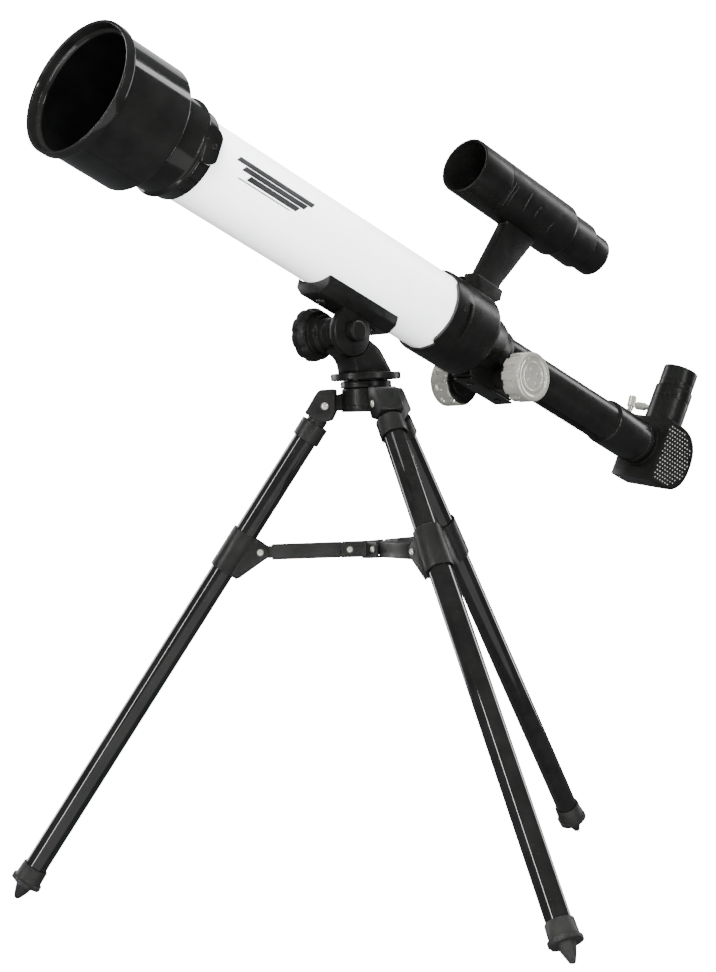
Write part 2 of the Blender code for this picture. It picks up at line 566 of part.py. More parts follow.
# ---------------------------------------------------------------- focuser
def focuser(optics):
    """Housing with its rear cone and pinion block, cover, rack tube, pinion and knobs."""
    collar_front, collar_rear, neck_end = -0.0730, -0.1165, -0.1500
    housing = turned("focuser_housing",
                     [(0.0306, collar_front), (0.0312, collar_front - 0.0008), (0.0308, collar_rear),
                      (0.0290, collar_rear - 0.0025), (0.0232, -0.1235), (0.0213, -0.1365),
                      (0.0176, -0.1460), (0.0172, neck_end), (DRAW_BORE - 0.0010, neck_end),
                      (DRAW_BORE - 0.0010, -0.1200), (0.0200, -0.1150), (0.0265, -0.1020),
                      (0.0265, TUBE_REAR - GAP), (TUBE + GAP, TUBE_REAR - GAP),
                      (TUBE + GAP, collar_front)],
                     SATIN_BLACK, optics, 32, True)
    block_front, block_rear, block_drop = -0.1200, -0.1690, 0.0306
    base = block("pinion_block", (-0.0086, -block_drop, block_rear), (0.0086, -0.0120, block_front), None,
                 optics)
    rounded(base, 0.0010, 1)
    boss = rod("pinion_boss", 0.0075, (-0.0225, -PINION_DROP, PINION_Z),
               (0.0225, -PINION_DROP, PINION_Z), None, optics, 24)
    bore = rod("draw_bore", DRAW_BORE, (0, 0, -0.18), (0, 0, -0.1190), None, optics, 36)
    rack_room = block("rack_room", (-0.0030, -0.0178, -0.18), (0.0030, -0.0100, -0.0950), None, optics)
    gear_room = block("gear_room", (-0.0056, -0.0320, PINION_Z - 0.0047),
                      (0.0056, -PINION_DROP + 0.0047, PINION_Z + 0.0047), None, optics)
    shaft_hole = rod("shaft_hole", 0.0023, (-0.03, -PINION_DROP, PINION_Z), (0.03, -PINION_DROP, PINION_Z),
                     None, optics, 20)
    shoe = shoe_solid(optics)
    weld(housing, base, boss, shoe)
    cut(housing, bore, rack_room, gear_room, shaft_hole, shoe_groove(optics))

    cover_top = -block_drop - GAP
    cover_low = cover_top - 0.0015
    cover = block("pinion_cover", (-0.0082, cover_low, -0.1705), (0.0082, cover_top, -0.1225),
                  SATIN_BLACK, optics)
    rounded(cover, 0.0004, 1)
    for name, spot in (("cover_screw_front", -0.1320), ("cover_screw_rear", -0.1632)):
        hole = rod(name + "_hole", 0.0018, (0, -0.04, spot), (0, -0.0245, spot), None, optics, 16)
        cut(cover, hole)
        cut(housing, hole)
        shank = rod(name, 0.0015, (0, cover_low - 0.0010, spot), (0, -0.0250, spot), NICKEL, optics, 16)
        head = rod(name + "_head", 0.0026, (0, cover_low - 0.0014, spot), (0, cover_low - GAP, spot),
                   None, optics, 16)
        weld(shank, head)

    draw = turned("draw_tube", [(DRAW, -0.0960), (DRAW, HOLDER_FRONT), (0.0168, HOLDER_FRONT),
                                (0.0175, HOLDER_FRONT - 0.0010), (0.0175, HOLDER_REAR + 0.0008),
                                (0.0168, HOLDER_REAR), (BARREL + 0.0003, HOLDER_REAR),
                                (BARREL + 0.0003, -0.2960), (0.0141, -0.2940), (0.0141, -0.0960)],
                  GLOSS_BLACK, optics, 32, True)
    screw_hole = rod("holder_hole", 0.0017, (0, 0.005, -0.3113), (0, 0.03, -0.3113), None, optics, 16)
    keyway = block("rack_keyway", (-0.0027, -0.0180, -0.2790), (0.0027, -0.0147, -0.0950), None, optics)
    cut(draw, screw_hole, keyway)
    block("focus_rack", (-0.0024, -0.0170, -0.2780), (0.0024, -0.0147 - GAP, -0.1000), SATIN_BLACK, optics)

    pinion = empty("pinion_axis", optics, (0, -PINION_DROP, PINION_Z), (0, 90, 0))
    shaft = rod("pinion_shaft", 0.0020, (0, 0, -0.0300), (0, 0, 0.0300), NICKEL, pinion, 20)
    gear = rod("pinion_gear", 0.0038, (0, 0, -0.0050), (0, 0, 0.0050), None, pinion, 20)
    weld(shaft, gear)
    for name, side in (("focus_knob_near", 1), ("focus_knob_far", -1)):
        focus_knob(name, side, pinion)


def focus_knob(name, side, pinion):
    """Plated knob with ten grip flutes and a raised ring on its face."""
    back, face = 0.0262, 0.0425
    profile = [(0.0068, face - 0.0004), (0.0072, face - 0.0008), (0.0132, face - 0.0008),
               (0.0150, face), (KNOB - 0.0006, face), (KNOB, face - 0.0008), (KNOB, back + 0.0008),
               (KNOB - 0.0006, back), (0.0065, back), (0.0065, 0.0230), (0.0, 0.0230)]
    knob = turned(name, [(0.0, face - 0.0004)] + profile, NICKEL, pinion, 28,
                  rotation=(0 if side > 0 else 180, 0, 0))
    bore = rod(name + "_bore", 0.0020 + GAP, (0, 0, 0.0200 * side), (0, 0, 0.0303 * side), None,
               pinion, 16)
    cut(knob, bore)
    for step in range(10):
        angle = math.radians(36 * step)
        centre = Vector((math.cos(angle), math.sin(angle), 0)) * (KNOB + 0.0009)
        flute = rod(name + "_flute", 0.0023, centre + Z * (back - 0.002) * side,
                    centre + Z * (face - 0.0058) * side, None, pinion, 8)
        cut(knob, flute)


def shoe_solid(optics):
    """The finder shoe moulded on top of the focuser's collar."""
    outline = [(-0.1030, 0.0270), (-0.1030, 0.0410), (-0.1325, 0.0410), (-0.1325, 0.0330), (-0.1200, 0.0240)]
    solid = plate("finder_shoe", outline, -0.0095, 0.0095, (Z, Y), None, optics)
    rounded(solid, 0.0010, 1)
    return solid


def shoe_groove(optics):
    outline = [(-0.0067, 0.0332), (0.0067, 0.0332), (0.0054, 0.0450), (-0.0054, 0.0450)]
    return plate("shoe_groove", outline, -0.1300, -0.09, (X, Y), None, optics)


# ---------------------------------------------------------------- diagonal and eyepiece
def d_outline(front, rear, low, high):
    """Flat at the front, rounded behind; points are (along the tube, up)."""
    middle, half = (low + high) / 2, (high - low) / 2
    centre = rear + half
    points = [(front, low)]
    for i in range(17):
        angle = math.radians(-90 - 180 * i / 16)
        cos, sin = math.cos(angle), math.sin(angle)
        points.append((centre + math.copysign(abs(cos) ** 0.86, cos) * half,
                       middle + math.copysign(abs(sin) ** 0.86, sin) * half))
    return points + [(front, high)]


def diagonal(optics):
    """Prism box, its tube for the eyepiece, nose and mirror; local Y points at the eyepiece."""
    bend = empty("diagonal_axis", optics, (0, 0, BEND_Z), (0, 0, -DIAGONAL_ROLL))
    front, rear, low, high = 0.0157, -0.0257, -0.0266, 0.0242
    box = plate("diagonal_box", d_outline(front, rear, low, high), -BOX_HALF, BOX_HALF,
                (Z, Y), SATIN_BLACK, bend)
    socket = rod("diagonal_socket", 0.0178, (0, 0, front - 0.002), (0, 0, front + 0.0030), None, bend, 32)
    riser = rod("diagonal_riser", EYE_TUBE, (0, high - 0.003, 0), (0, 0.0527, 0), None, bend, 32)
    well = rod("diagonal_well", BARREL + GAP, (0, -0.0140, 0), (0, 0.06, 0), None, bend, 32)
    passage = rod("diagonal_passage", 0.0105, (0, 0, 0), (0, 0, 0.03), None, bend, 24)
    nose_room = rod("diagonal_nose_room", BARREL, (0, 0, front - 0.0015), (0, 0, 0.03), None, bend, 32)
    thumb_hole = rod("diagonal_thumb_hole", 0.0017, (-0.03, 0.0360, 0), (-0.005, 0.0360, 0), None,
                     bend, 16)
    weld(box, socket, riser)
    cut(box, well, passage, nose_room, thumb_hole)
    tube("diagonal_nose", BARREL - GAP, 0.0108, front - 0.0012, 0.0490, NICKEL, bend, 28)

    plug = rod("diagonal_mirror", BARREL - 0.0001, (0, -0.0137, 0), (0, 0.0137, 0), MIRROR, bend, 32)
    half_space = block("mirror_cut", (-0.02, 0, -0.03), (0.02, 0.03, 0.03), None, bend, rotation=(45, 0, 0))
    cut(plug, half_space)

    eye = empty("eyepiece_axis", bend, (0, 0, 0), (-90, 0, 0))
    body_low, body_high = 0.0527 + GAP, 0.0701
    turned("eyepiece", [(0.0128, body_high), (0.0138, body_high - 0.0010), (0.0138, body_low),
                        (BARREL, body_low), (BARREL, 0.0290), (0.0108, 0.0290), (0.0108, body_low + 0.004),
                        (0.0070, body_low + 0.006), (0.0070, body_high - 0.0050), (0.0088, body_high)],
           GLOSS_BLACK, eye, 24, True)
    turned("eye_lens", dome_profile(0.0067, body_low + 0.0070, body_low + 0.0095, 0.0008, 0.0008), GLASS,
           eye, 16)
    thumbscrew("eyepiece_thumbscrew", bend, (0, 0.0360, 0), X * -1, 0.0126, 0.0230)
    thumbscrew("holder_thumbscrew", optics, (0, 0, -0.3113), Y, 0.0128, 0.0230)


def thumbscrew(name, parent, foot, axis, start, neck):
    """Knurled-head screw pointing outward along axis from foot."""
    foot = Vector(foot)
    shank = rod(name, 0.0014, foot + axis * start, foot + axis * (neck + 0.001), NICKEL, parent, 16)
    head = rod(name + "_head", 0.0032, foot + axis * neck, foot + axis * (neck + 0.0090), None, parent, 20)
    collar = rod(name + "_collar", 0.0022, foot + axis * (neck - 0.0025), foot + axis * (neck + 0.001),
                 None, parent, 16)
    weld(shank, head, collar)


# ---------------------------------------------------------------- finder
def finder(optics):
    """Small finder scope on a tapered stalk that slides into the focuser's shoe."""
    scope = empty("finder_axis", optics, (0, FINDER_LIFT, 0))
    inner = 0.0194
    turned("finder_tube", [(FINDER - 0.0005, FINDER_FRONT), (FINDER, FINDER_FRONT - 0.0006),
                           (FINDER, -0.1810), (0.0204, -0.1830), (0.0183, -0.1845), (0.0183, -0.2094),
                           (0.0177, -0.2100), (0.0141, -0.2100), (0.0141, -0.1900), (inner, -0.1780),
                           (inner, -0.1180), (0.0178, -0.1170), (0.0178, -0.1150), (inner, -0.1150),
                           (inner, FINDER_FRONT)],
           SATIN_BLACK, scope, 32, True)
    turned("finder_objective", dome_profile(0.0191, -0.1147, -0.1120, 0.0012, 0.0002), GLASS, scope, 24)
    turned("finder_eyepiece", [(0.0135, -0.1930), (0.0138, -0.1940), (0.0138, -0.2103), (0.0157, -0.2103),
                               (0.0157, -0.2290), (0.0145, -0.2303), (0.0085, -0.2303), (0.0070, -0.2250),
                               (0.0070, -0.2150), (0.0115, -0.2100), (0.0115, -0.1930)],
           GLOSS_BLACK, scope, 24, True)
    turned("finder_eye_lens", dome_profile(0.0067, -0.2230, -0.2205, 0.0007, 0.0007), GLASS, scope, 16)

    top = FINDER_LIFT - FINDER - GAP
    outline = [(-0.1322, 0.0413), (-0.1328, 0.0455), (-0.1570, top - 0.0010), (-0.1610, top + 0.0040),
               (-0.1215, top + 0.0040), (-0.1250, top - 0.0010), (-0.1112, 0.0455), (-0.1098, 0.0413)]
    stalk = plate("finder_bracket", outline, -0.0052, 0.0052, (Z, Y), SATIN_BLACK, optics)
    rounded(stalk, 0.0010, 1)
    seat = rod("finder_seat", FINDER + GAP, (0, FINDER_LIFT, -0.25), (0, FINDER_LIFT, 0), None, optics, 32)
    foot = plate("finder_foot", [(-0.0064, 0.0335), (0.0064, 0.0335), (0.0051, 0.0430), (-0.0051, 0.0430)],
                 -0.1297, -0.1045, (X, Y), None, optics)
    weld(stalk, foot)
    cut(stalk, seat)


# ---------------------------------------------------------------- assembly
def build():
    tripod = empty("tripod_axis", None, (AXIS_X, AXIS_Y, 0))
    hub(tripod)
    for key, azimuth in LEG_AZIMUTHS.items():
        leg(key, azimuth, tripod)
    brace_hub(tripod)
    pan = empty("pan_axis", tripod, (0, 0, 0), (0, 0, TELESCOPE_AZIMUTH + 90))
    pan_post(pan)
    tilt = empty("tilt_axis", pan, (0, -TILT_FORWARD, TILT_HEIGHT), (90 - ELEVATION, 0, 0))
    saddle(tilt)
    tilt_clamp(tilt)
    optics = empty("optical_axis", tilt, (0, AXIS_LIFT, 0))
    optical_tube(optics)
    focuser(optics)
    diagonal(optics)
    finder(optics)


build()
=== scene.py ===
import json
import math

import bmesh
import bpy
from mathutils import Matrix, Vector


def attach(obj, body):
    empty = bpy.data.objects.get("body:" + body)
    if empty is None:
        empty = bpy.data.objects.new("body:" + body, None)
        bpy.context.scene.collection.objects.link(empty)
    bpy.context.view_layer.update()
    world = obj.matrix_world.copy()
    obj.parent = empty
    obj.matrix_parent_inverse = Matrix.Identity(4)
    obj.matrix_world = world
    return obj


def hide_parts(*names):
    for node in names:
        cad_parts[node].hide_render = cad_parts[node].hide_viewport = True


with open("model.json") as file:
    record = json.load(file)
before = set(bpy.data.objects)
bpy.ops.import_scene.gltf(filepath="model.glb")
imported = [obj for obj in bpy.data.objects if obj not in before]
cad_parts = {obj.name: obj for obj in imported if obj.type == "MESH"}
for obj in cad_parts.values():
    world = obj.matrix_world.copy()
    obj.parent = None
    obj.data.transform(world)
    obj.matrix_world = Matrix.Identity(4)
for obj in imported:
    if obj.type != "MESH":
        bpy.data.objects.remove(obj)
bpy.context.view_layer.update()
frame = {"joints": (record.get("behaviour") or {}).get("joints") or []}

# ------------------------------------------------------------------ dimensions, metres
GAP = 0.0003
LEG_PIN_R = 0.0281            # leg pins from the upright axis
FOOT_R = 0.260
FOOT_TIP, FOOT_FLAT = 0.0025, 0.0005
LEG_TUBE, LEG_WALL = 0.00805, 0.0010
COLLAR = 0.0097
CHEEK = 0.0084
LUG_HALF = 0.0030
RIVET, RIVET_HEAD = 0.0020, 0.0026
BRACE_DOWN, BRACE_IN = 0.1087, 0.0161
HUB_PIN_R = 0.0149
BRACE_RIVET = RIVET * 0.8
ARM_HALF, ARM_HEIGHT = 0.0049, 0.0106
SLOT_HALF = 0.0053
HUB_R, HUB_LOW, HUB_TOP, RING_TOP = 0.0168, 0.3300, 0.3460, 0.3508
DISC_R, DISC_LOW, DISC_TOP = 0.0240, 0.3516, 0.3562
EAR_R, TONGUE_R = 0.0170, 0.0110
TONGUE = (-0.0040, 0.0035)
HEAD_HALF = 0.00965
BOLT_HOLE, SCREW_HOLE = 0.0033, 0.0018
AXIS_LIFT = 0.04885
TUBE, TUBE_WALL = 0.0286, 0.0012
TUBE_REAR, TUBE_FRONT = -0.098, 0.190
MOUTH, HOOD_REAR, HOOD, HOOD_RIM = 0.2617, 0.2040, 0.0430, 0.0456
CELL, CELL_SCREW_Z, HOOD_BORE = 0.0327, 0.1752, 0.0404
SADDLE_HALF, SADDLE_REAR, SADDLE_FRONT, SADDLE_LOW = 0.0152, -0.0323, 0.0377, 0.0370
DRAW, DRAW_BORE = 0.0153, 0.0156
HOLDER_FRONT, HOLDER_REAR = -0.2830, -0.3275
HOLDER_SCREW_Z, THUMB_LIFT = -0.3113, 0.0360
PINION_Z, PINION_DROP = -0.1498, 0.0212
KNOB = 0.0178
BEND_Z, BEND_ROLL = -0.3490, 9.0
BOX_HALF, EYE_TUBE, BARREL = 0.0200, 0.0150, 0.0122
FINDER_LIFT, FINDER, FINDER_FRONT = 0.1138, 0.0210, -0.0733

X, Y, Z = Vector((1, 0, 0)), Vector((0, 1, 0)), Vector((0, 0, 1))
TAU = 2 * math.pi

# ------------------------------------------------------------------ frames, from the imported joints
JOINTS = {j["name"]: j for j in frame["joints"]}


def axis_of(name):
    return Vector(JOINTS[name]["axis"]).normalized()


def place_of(name):
    return Vector(JOINTS[name]["pos_m"])


def axes(origin, x, y, z):
    return Matrix.Translation(origin) @ Matrix((x, y, z)).transposed().to_4x4()


def moved(x, y, z):
    return Matrix.Translation((x, y, z))


def turn(angle, axis):
    return Matrix.Rotation(math.radians(angle), 4, axis)


PAN_AT = place_of("pan_turn")
TRIPOD = moved(PAN_AT.x, PAN_AT.y, 0)
U = -axis_of("tilt")
D = axis_of("draw_slide")
V = D.cross(U)
PAN = axes((PAN_AT.x, PAN_AT.y, 0), U, Z.cross(U), Z)
TILT = axes(place_of("tilt"), U, V, D)
OPTICS = TILT @ moved(0, AXIS_LIFT, 0)
PINION = OPTICS @ moved(0, -PINION_DROP, PINION_Z) @ turn(90, 'Y')
BEND = OPTICS @ moved(0, 0, BEND_Z) @ turn(-BEND_ROLL, 'Z')
EYE = BEND @ turn(-90, 'X')
SCOPE = OPTICS @ moved(0, FINDER_LIFT, 0)
LEG_PIN_Z = place_of("leg_a_fold").z
LEG_TILT = math.atan2(FOOT_R - LEG_PIN_R, LEG_PIN_Z)
TIP_DOWN = (LEG_PIN_Z - FOOT_TIP + FOOT_FLAT) / math.cos(LEG_TILT)
BRACE_R = LEG_PIN_R + BRACE_DOWN * math.sin(LEG_TILT) - BRACE_IN * math.cos(LEG_TILT)
BRACE_Z = place_of("brace_arm_a_hinge").z
ARM_LENGTH = BRACE_R - HUB_PIN_R
PAN_PIN = PAN.inverted() @ place_of("tilt")


def leg_frames(key):
    """The leg's own frame (Z up the leg), the upright frame on its side, and the brace pin's."""
    side = axis_of("leg_" + key + "_fold")
    out = side.cross(Z)
    upright = axes((PAN_AT.x, PAN_AT.y, 0), out, side, Z)
    leg = upright @ moved(LEG_PIN_R, 0, LEG_PIN_Z) @ Matrix.Rotation(-LEG_TILT, 4, 'Y')
    return leg, upright, upright @ moved(BRACE_R, 0, BRACE_Z)


# ------------------------------------------------------------------ materials
def noise(tree, coord, scale, detail=4.0, rough=0.5):
    node = tree.nodes.new("ShaderNodeTexNoise")
    node.inputs["Scale"].default_value = scale
    node.inputs["Detail"].default_value = detail
    node.inputs["Roughness"].default_value = rough
    tree.links.new(coord, node.inputs["Vector"])
    return node.outputs["Fac"]


def ramp(tree, value, low, high, low_at=0.35, high_at=0.65):
    node = tree.nodes.new("ShaderNodeMapRange")
    node.inputs["From Min"].default_value = low_at
    node.inputs["From Max"].default_value = high_at
    node.inputs["To Min"].default_value = low
    node.inputs["To Max"].default_value = high
    tree.links.new(value, node.inputs["Value"])
    return node.outputs["Result"]


def mix_colour(tree, factor, first, second):
    node = tree.nodes.new("ShaderNodeMix")
    node.data_type = 'RGBA'
    tree.links.new(factor, node.inputs["Factor"])
    node.inputs["A"].default_value = (*first, 1)
    node.inputs["B"].default_value = (*second, 1)
    return node.outputs["Result"]


def finish(name, dark, light, rough, metallic=0.0, coat=0.0, grain=900.0, grain_depth=0.00001,
           ripple=40.0, ripple_depth=0.0, stretch=(1, 1, 1), specular=0.5, transmission=0.0, ior=1.5):
    """A moulded, enamelled or plated surface: mottled colour, uneven gloss, grain and ripple."""
    made = bpy.data.materials.new(name)
    made.use_nodes = True
    tree = made.node_tree
    shader = tree.nodes["Principled BSDF"]
    where = tree.nodes.new("ShaderNodeTexCoord").outputs["Object"]
    mapped = tree.nodes.new("ShaderNodeMapping")
    mapped.inputs["Scale"].default_value = stretch
    tree.links.new(where, mapped.inputs["Vector"])
    coord = mapped.outputs["Vector"]
    mottle = noise(tree, where, 55.0, 5.0, 0.6)
    fine = noise(tree, coord, grain, 3.0, 0.55)
    tree.links.new(mix_colour(tree, ramp(tree, mottle, 0, 1), dark, light), shader.inputs["Base Color"])
    patchy = noise(tree, coord, 120.0, 4.0, 0.65)
    tree.links.new(ramp(tree, patchy, rough[0], rough[1]), shader.inputs["Roughness"])
    height = tree.nodes.new("ShaderNodeBump")
    height.inputs["Strength"].default_value = 1.0
    height.inputs["Distance"].default_value = grain_depth
    tree.links.new(fine, height.inputs["Height"])
    if ripple_depth:
        wave = tree.nodes.new("ShaderNodeBump")
        wave.inputs["Strength"].default_value = 1.0
        wave.inputs["Distance"].default_value = ripple_depth
        tree.links.new(noise(tree, coord, ripple, 1.0, 0.4), wave.inputs["Height"])
        tree.links.new(height.outputs["Normal"], wave.inputs["Normal"])
        height = wave
    tree.links.new(height.outputs["Normal"], shader.inputs["Normal"])
    shader.inputs["Metallic"].default_value = metallic
    shader.inputs["Coat Weight"].default_value = coat
    shader.inputs["Coat Roughness"].default_value = 0.05
    shader.inputs["Specular IOR Level"].default_value = specular
    shader.inputs["Transmission Weight"].default_value = transmission
    shader.inputs["IOR"].default_value = ior
    return made


def looks(*values, **more):
    """The same finish as a function, so each piece gets a material of its own."""
    return lambda name: finish(name, *values, **more)


GLOSS_BLACK = looks((0.0022, 0.0023, 0.0021), (0.0040, 0.0041, 0.0038), (0.07, 0.13), coat=0.3,
                    grain=700.0, grain_depth=0.000004, ripple=26.0, ripple_depth=0.00012)
SEMI_GLOSS = looks((0.0018, 0.0019, 0.0017), (0.0030, 0.0031, 0.0028), (0.20, 0.28), specular=0.45,
                   grain=900.0, grain_depth=0.000006)
SATIN_BLACK = looks((0.0014, 0.0015, 0.0013), (0.0024, 0.0025, 0.0022), (0.27, 0.38), specular=0.34,
                    grain=1500.0, grain_depth=0.000018, ripple=60.0, ripple_depth=0.00004)
LEG_BLACK = looks((0.0018, 0.0019, 0.0017), (0.0034, 0.0035, 0.0032), (0.05, 0.10), coat=0.5,
                  grain=900.0, grain_depth=0.000004, stretch=(1, 1, 0.04))
CHARCOAL = looks((0.0024, 0.0025, 0.0023), (0.0040, 0.0041, 0.0038), (0.32, 0.44), specular=0.42,
                 grain=1300.0, grain_depth=0.00003)
BRACE_STEEL = looks((0.0040, 0.0042, 0.0039), (0.0070, 0.0072, 0.0067), (0.32, 0.44), metallic=0.2,
                    specular=0.42, grain=1100.0, grain_depth=0.00002)
NICKEL = looks((0.60, 0.585, 0.515), (0.70, 0.685, 0.62), (0.15, 0.22), metallic=0.88, grain=900.0,
               grain_depth=0.0000015)
DARK_STEEL = looks((0.028, 0.028, 0.026), (0.055, 0.055, 0.051), (0.20, 0.30), metallic=0.9, grain=1400.0,
                   grain_depth=0.000008)
PALE_DOT = looks((0.20, 0.20, 0.19), (0.30, 0.30, 0.285), (0.30, 0.42), grain=1400.0)
# Lining inside the dew hood: the matte finish is the hood's blackened inside, and the near-black colour,
# darker than the hood's own black, is painted shade for the hood's deep interior.
BLACKENED_LINING_AND_SHADE = looks((0.0006, 0.0006, 0.0006), (0.0012, 0.0012, 0.0012), (0.85, 0.95), grain=1800.0,
              grain_depth=0.00003, specular=0.08)
WHITE = looks((0.80, 0.825, 0.815), (0.85, 0.872, 0.862), (0.28, 0.38), coat=0.12, specular=0.35,
              grain=500.0, grain_depth=0.000005, ripple=90.0, ripple_depth=0.00001)
INK = looks((0.010, 0.010, 0.011), (0.018, 0.018, 0.019), (0.30, 0.40), grain=1200.0)
GLASS = looks((0.80, 0.88, 0.93), (0.86, 0.90, 0.97), (0.01, 0.03), transmission=1.0, ior=1.52,
              grain=300.0, grain_depth=0.000001)
MIRROR = looks((0.86, 0.87, 0.88), (0.90, 0.90, 0.91), (0.02, 0.05), metallic=1.0, grain=300.0,
               grain_depth=0.000001)
RUBBER = looks((0.0032, 0.0032, 0.0030), (0.0062, 0.0062, 0.0058), (0.42, 0.60), grain=1000.0,
               grain_depth=0.00004)


# ------------------------------------------------------------------ shapes
def put(mesh, place, angle=34):
    mesh.shade_smooth()
    mesh.set_sharp_from_angle(angle=math.radians(angle))
    made = bpy.data.objects.new("shape", mesh)
    bpy.context.scene.collection.objects.link(made)
    made.matrix_world = place
    return made


def mesh_of(bm):
    mesh = bpy.data.meshes.new("shape")
    bmesh.ops.recalc_face_normals(bm, faces=bm.faces)
    bm.to_mesh(mesh)
    bm.free()
    return mesh


def eased(points, radius, closed=True, steps=4):
    """Rounds every corner of a line of 2D points by up to a radius."""
    rounded, count = [], len(points)
    for i, point in enumerate(points):
        here = Vector(point)
        if not closed and i in (0, count - 1):
            rounded.append(tuple(here))
            continue
        back, ahead = Vector(points[i - 1]) - here, Vector(points[(i + 1) % count]) - here
        reach = min(radius, back.length * 0.45, ahead.length * 0.45)
        start, end = here + back.normalized() * reach, here + ahead.normalized() * reach
        for k in range(steps + 1):
            t = k / steps
            rounded.append(tuple(start * (1 - t) ** 2 + here * 2 * t * (1 - t) + end * t ** 2))
    return rounded


def turned(profile, place, steps=96, closed=False, ease=0.0, shape=None):
    """Spins (radius, z) points about Z; shape(radius, z, angle) may change a point's radius."""
    if ease:
        profile = eased(profile, ease, closed, 3)
    verts, rows, faces = [], [], []
    for r, z in profile:
        if r < 1e-6:
            rows.append([len(verts)])
            verts.append((0, 0, z))
            continue
        rows.append(list(range(len(verts), len(verts) + steps)))
        for i in range(steps):
            angle = TAU * i / steps
            radius = shape(r, z, angle) if shape else r
            verts.append((radius * math.cos(angle), radius * math.sin(angle), z))
    pairs = list(zip(rows, rows[1:])) + ([(rows[-1], rows[0])] if closed else [])
    for a, b in pairs:
        for i in range(steps):
            j = (i + 1) % steps
            ring = [a[i % len(a)], a[j % len(a)], b[j % len(b)], b[i % len(b)]]
            ring = list(dict.fromkeys(ring))
            if len(ring) > 2:
                faces.append(ring)
    mesh = bpy.data.meshes.new("shape")
    mesh.from_pydata(verts, [], faces)
    bm = bmesh.new()
    bm.from_mesh(mesh)
    return put(mesh_of(bm), place)


def tube(outer, inner, low, high, place, steps=96, ease=0.0003):
    return turned([(outer, high), (outer, low), (inner, low), (inner, high)], place, steps, True, ease)


def rod(radius, start, end, place, steps=48, end_radius=None, ease=0.0):
    start, end = Vector(start), Vector(end)
    run = end - start
    tip = radius if end_radius is None else end_radius
    aim = Z.rotation_difference(run.normalized()).to_matrix().to_4x4()
    return turned([(0, run.length), (tip, run.length), (radius, 0), (0, 0)],
                  place @ Matrix.Translation(start) @ aim, steps, False, ease)


def block(low, high, place, ease=0.0):
    low, high = Vector(low), Vector(high)
    bm = bmesh.new()
    bmesh.ops.create_cube(bm, size=1.0, matrix=Matrix.Translation((low + high) / 2)
                          @ Matrix.Diagonal((*(high - low), 1.0)))
    if ease:
        bmesh.ops.bevel(bm, geom=bm.edges, offset=ease, segments=3, profile=0.5, affect='EDGES')
    return put(mesh_of(bm), place)


def plate(outline, low, high, plane, place, ease=0.0, corner=0.0):
    """A flat outline swept from low to high, its corners and rims rounded."""
    if corner:
        outline = eased(outline, corner)
    across, up = plane
    normal = across.cross(up)
    bm = bmesh.new()
    base = [bm.verts.new(across * a + up * b + normal * low) for a, b in outline]
    face = bm.faces.new(base)
    top = bmesh.ops.extrude_face_region(bm, geom=[face])
    moved_up = [g for g in top["geom"] if isinstance(g, bmesh.types.BMVert)]
    bmesh.ops.translate(bm, verts=moved_up, vec=normal * (high - low))
    if ease:
        rims = [e for e in bm.edges if any(len(f.verts) == len(outline) for f in e.link_faces)]
        bmesh.ops.bevel(bm, geom=rims, offset=ease, segments=2, profile=0.5, affect='EDGES',
                        clamp_overlap=True)
    return put(mesh_of(bm), place)


def arc(centre, radius, start, end, count):
    return [(centre[0] + radius * math.cos(math.radians(start + (end - start) * i / count)),
             centre[1] + radius * math.sin(math.radians(start + (end - start) * i / count)))
            for i in range(count + 1)]


def combine(target, tools, operation):
    for tool in tools:
        step = target.modifiers.new("step", 'BOOLEAN')
        step.operation = operation
        step.solver = 'EXACT'
        step.object = tool
    bpy.context.view_layer.update()
    depsgraph = bpy.context.evaluated_depsgraph_get()
    mesh = bpy.data.meshes.new_from_object(target.evaluated_get(depsgraph))
    target.modifiers.clear()
    target.data = mesh
    if not mesh.polygons:
        raise RuntimeError("a boolean lost its solid")
    mesh.shade_smooth()
    mesh.set_sharp_from_angle(angle=math.radians(34))
    for tool in tools:
        bpy.data.objects.remove(tool)
    return target


def cut(target, *tools):
    return combine(target, tools, 'DIFFERENCE')


def weld(target, *tools):
    return combine(target, tools, 'UNION')


def loose(target, *others):
    """Adds other shapes to this one without cutting, such as rivets set in a sheet."""
    inverse = target.matrix_world.inverted()
    bm = bmesh.new()
    bm.from_mesh(target.data)
    for other in others:
        other.data.transform(inverse @ other.matrix_world)
        bm.from_mesh(other.data)
        bpy.data.objects.remove(other)
    bm.to_mesh(target.data)
    bm.free()
    target.data.shade_smooth()
    target.data.set_sharp_from_angle(angle=math.radians(34))
    return target


def show(name, target, look, slot, body, *nodes):
    """Names a finished piece, gives it its surface and body, and hides the CAD nodes it stands for."""
    target.name = name
    target.data.name = name
    target.data.materials.clear()
    target.data.materials.append(look(name + "_surface"))
    bpy.context.view_layer.update()
    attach(target, body)
    if nodes:
        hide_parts(*nodes)
    return target


# ------------------------------------------------------------------ camera, floor and light
def camera():
    yaw, pitch, roll = -0.0053, 0.0172, 0.0393
    ahead = Vector((math.sin(yaw) * math.cos(pitch), math.cos(yaw) * math.cos(pitch), -math.sin(pitch)))
    right = Vector((math.cos(yaw), -math.sin(yaw), 0))
    down = ahead.cross(right)
    across = math.cos(roll) * right + math.sin(roll) * down
    below = -math.sin(roll) * right + math.cos(roll) * down
    lens = bpy.data.cameras.new("camera")
    lens.sensor_width = 36.0
    lens.lens = 2261.9 / 972 * 36.0
    lens.clip_start = 0.05
    seen = bpy.data.objects.new("camera", lens)
    bpy.context.scene.collection.objects.link(seen)
    seen.matrix_world = axes((PAN_AT.x, PAN_AT.y - 1.5499, 0.3058), across, -below, -ahead)
    bpy.context.scene.camera = seen


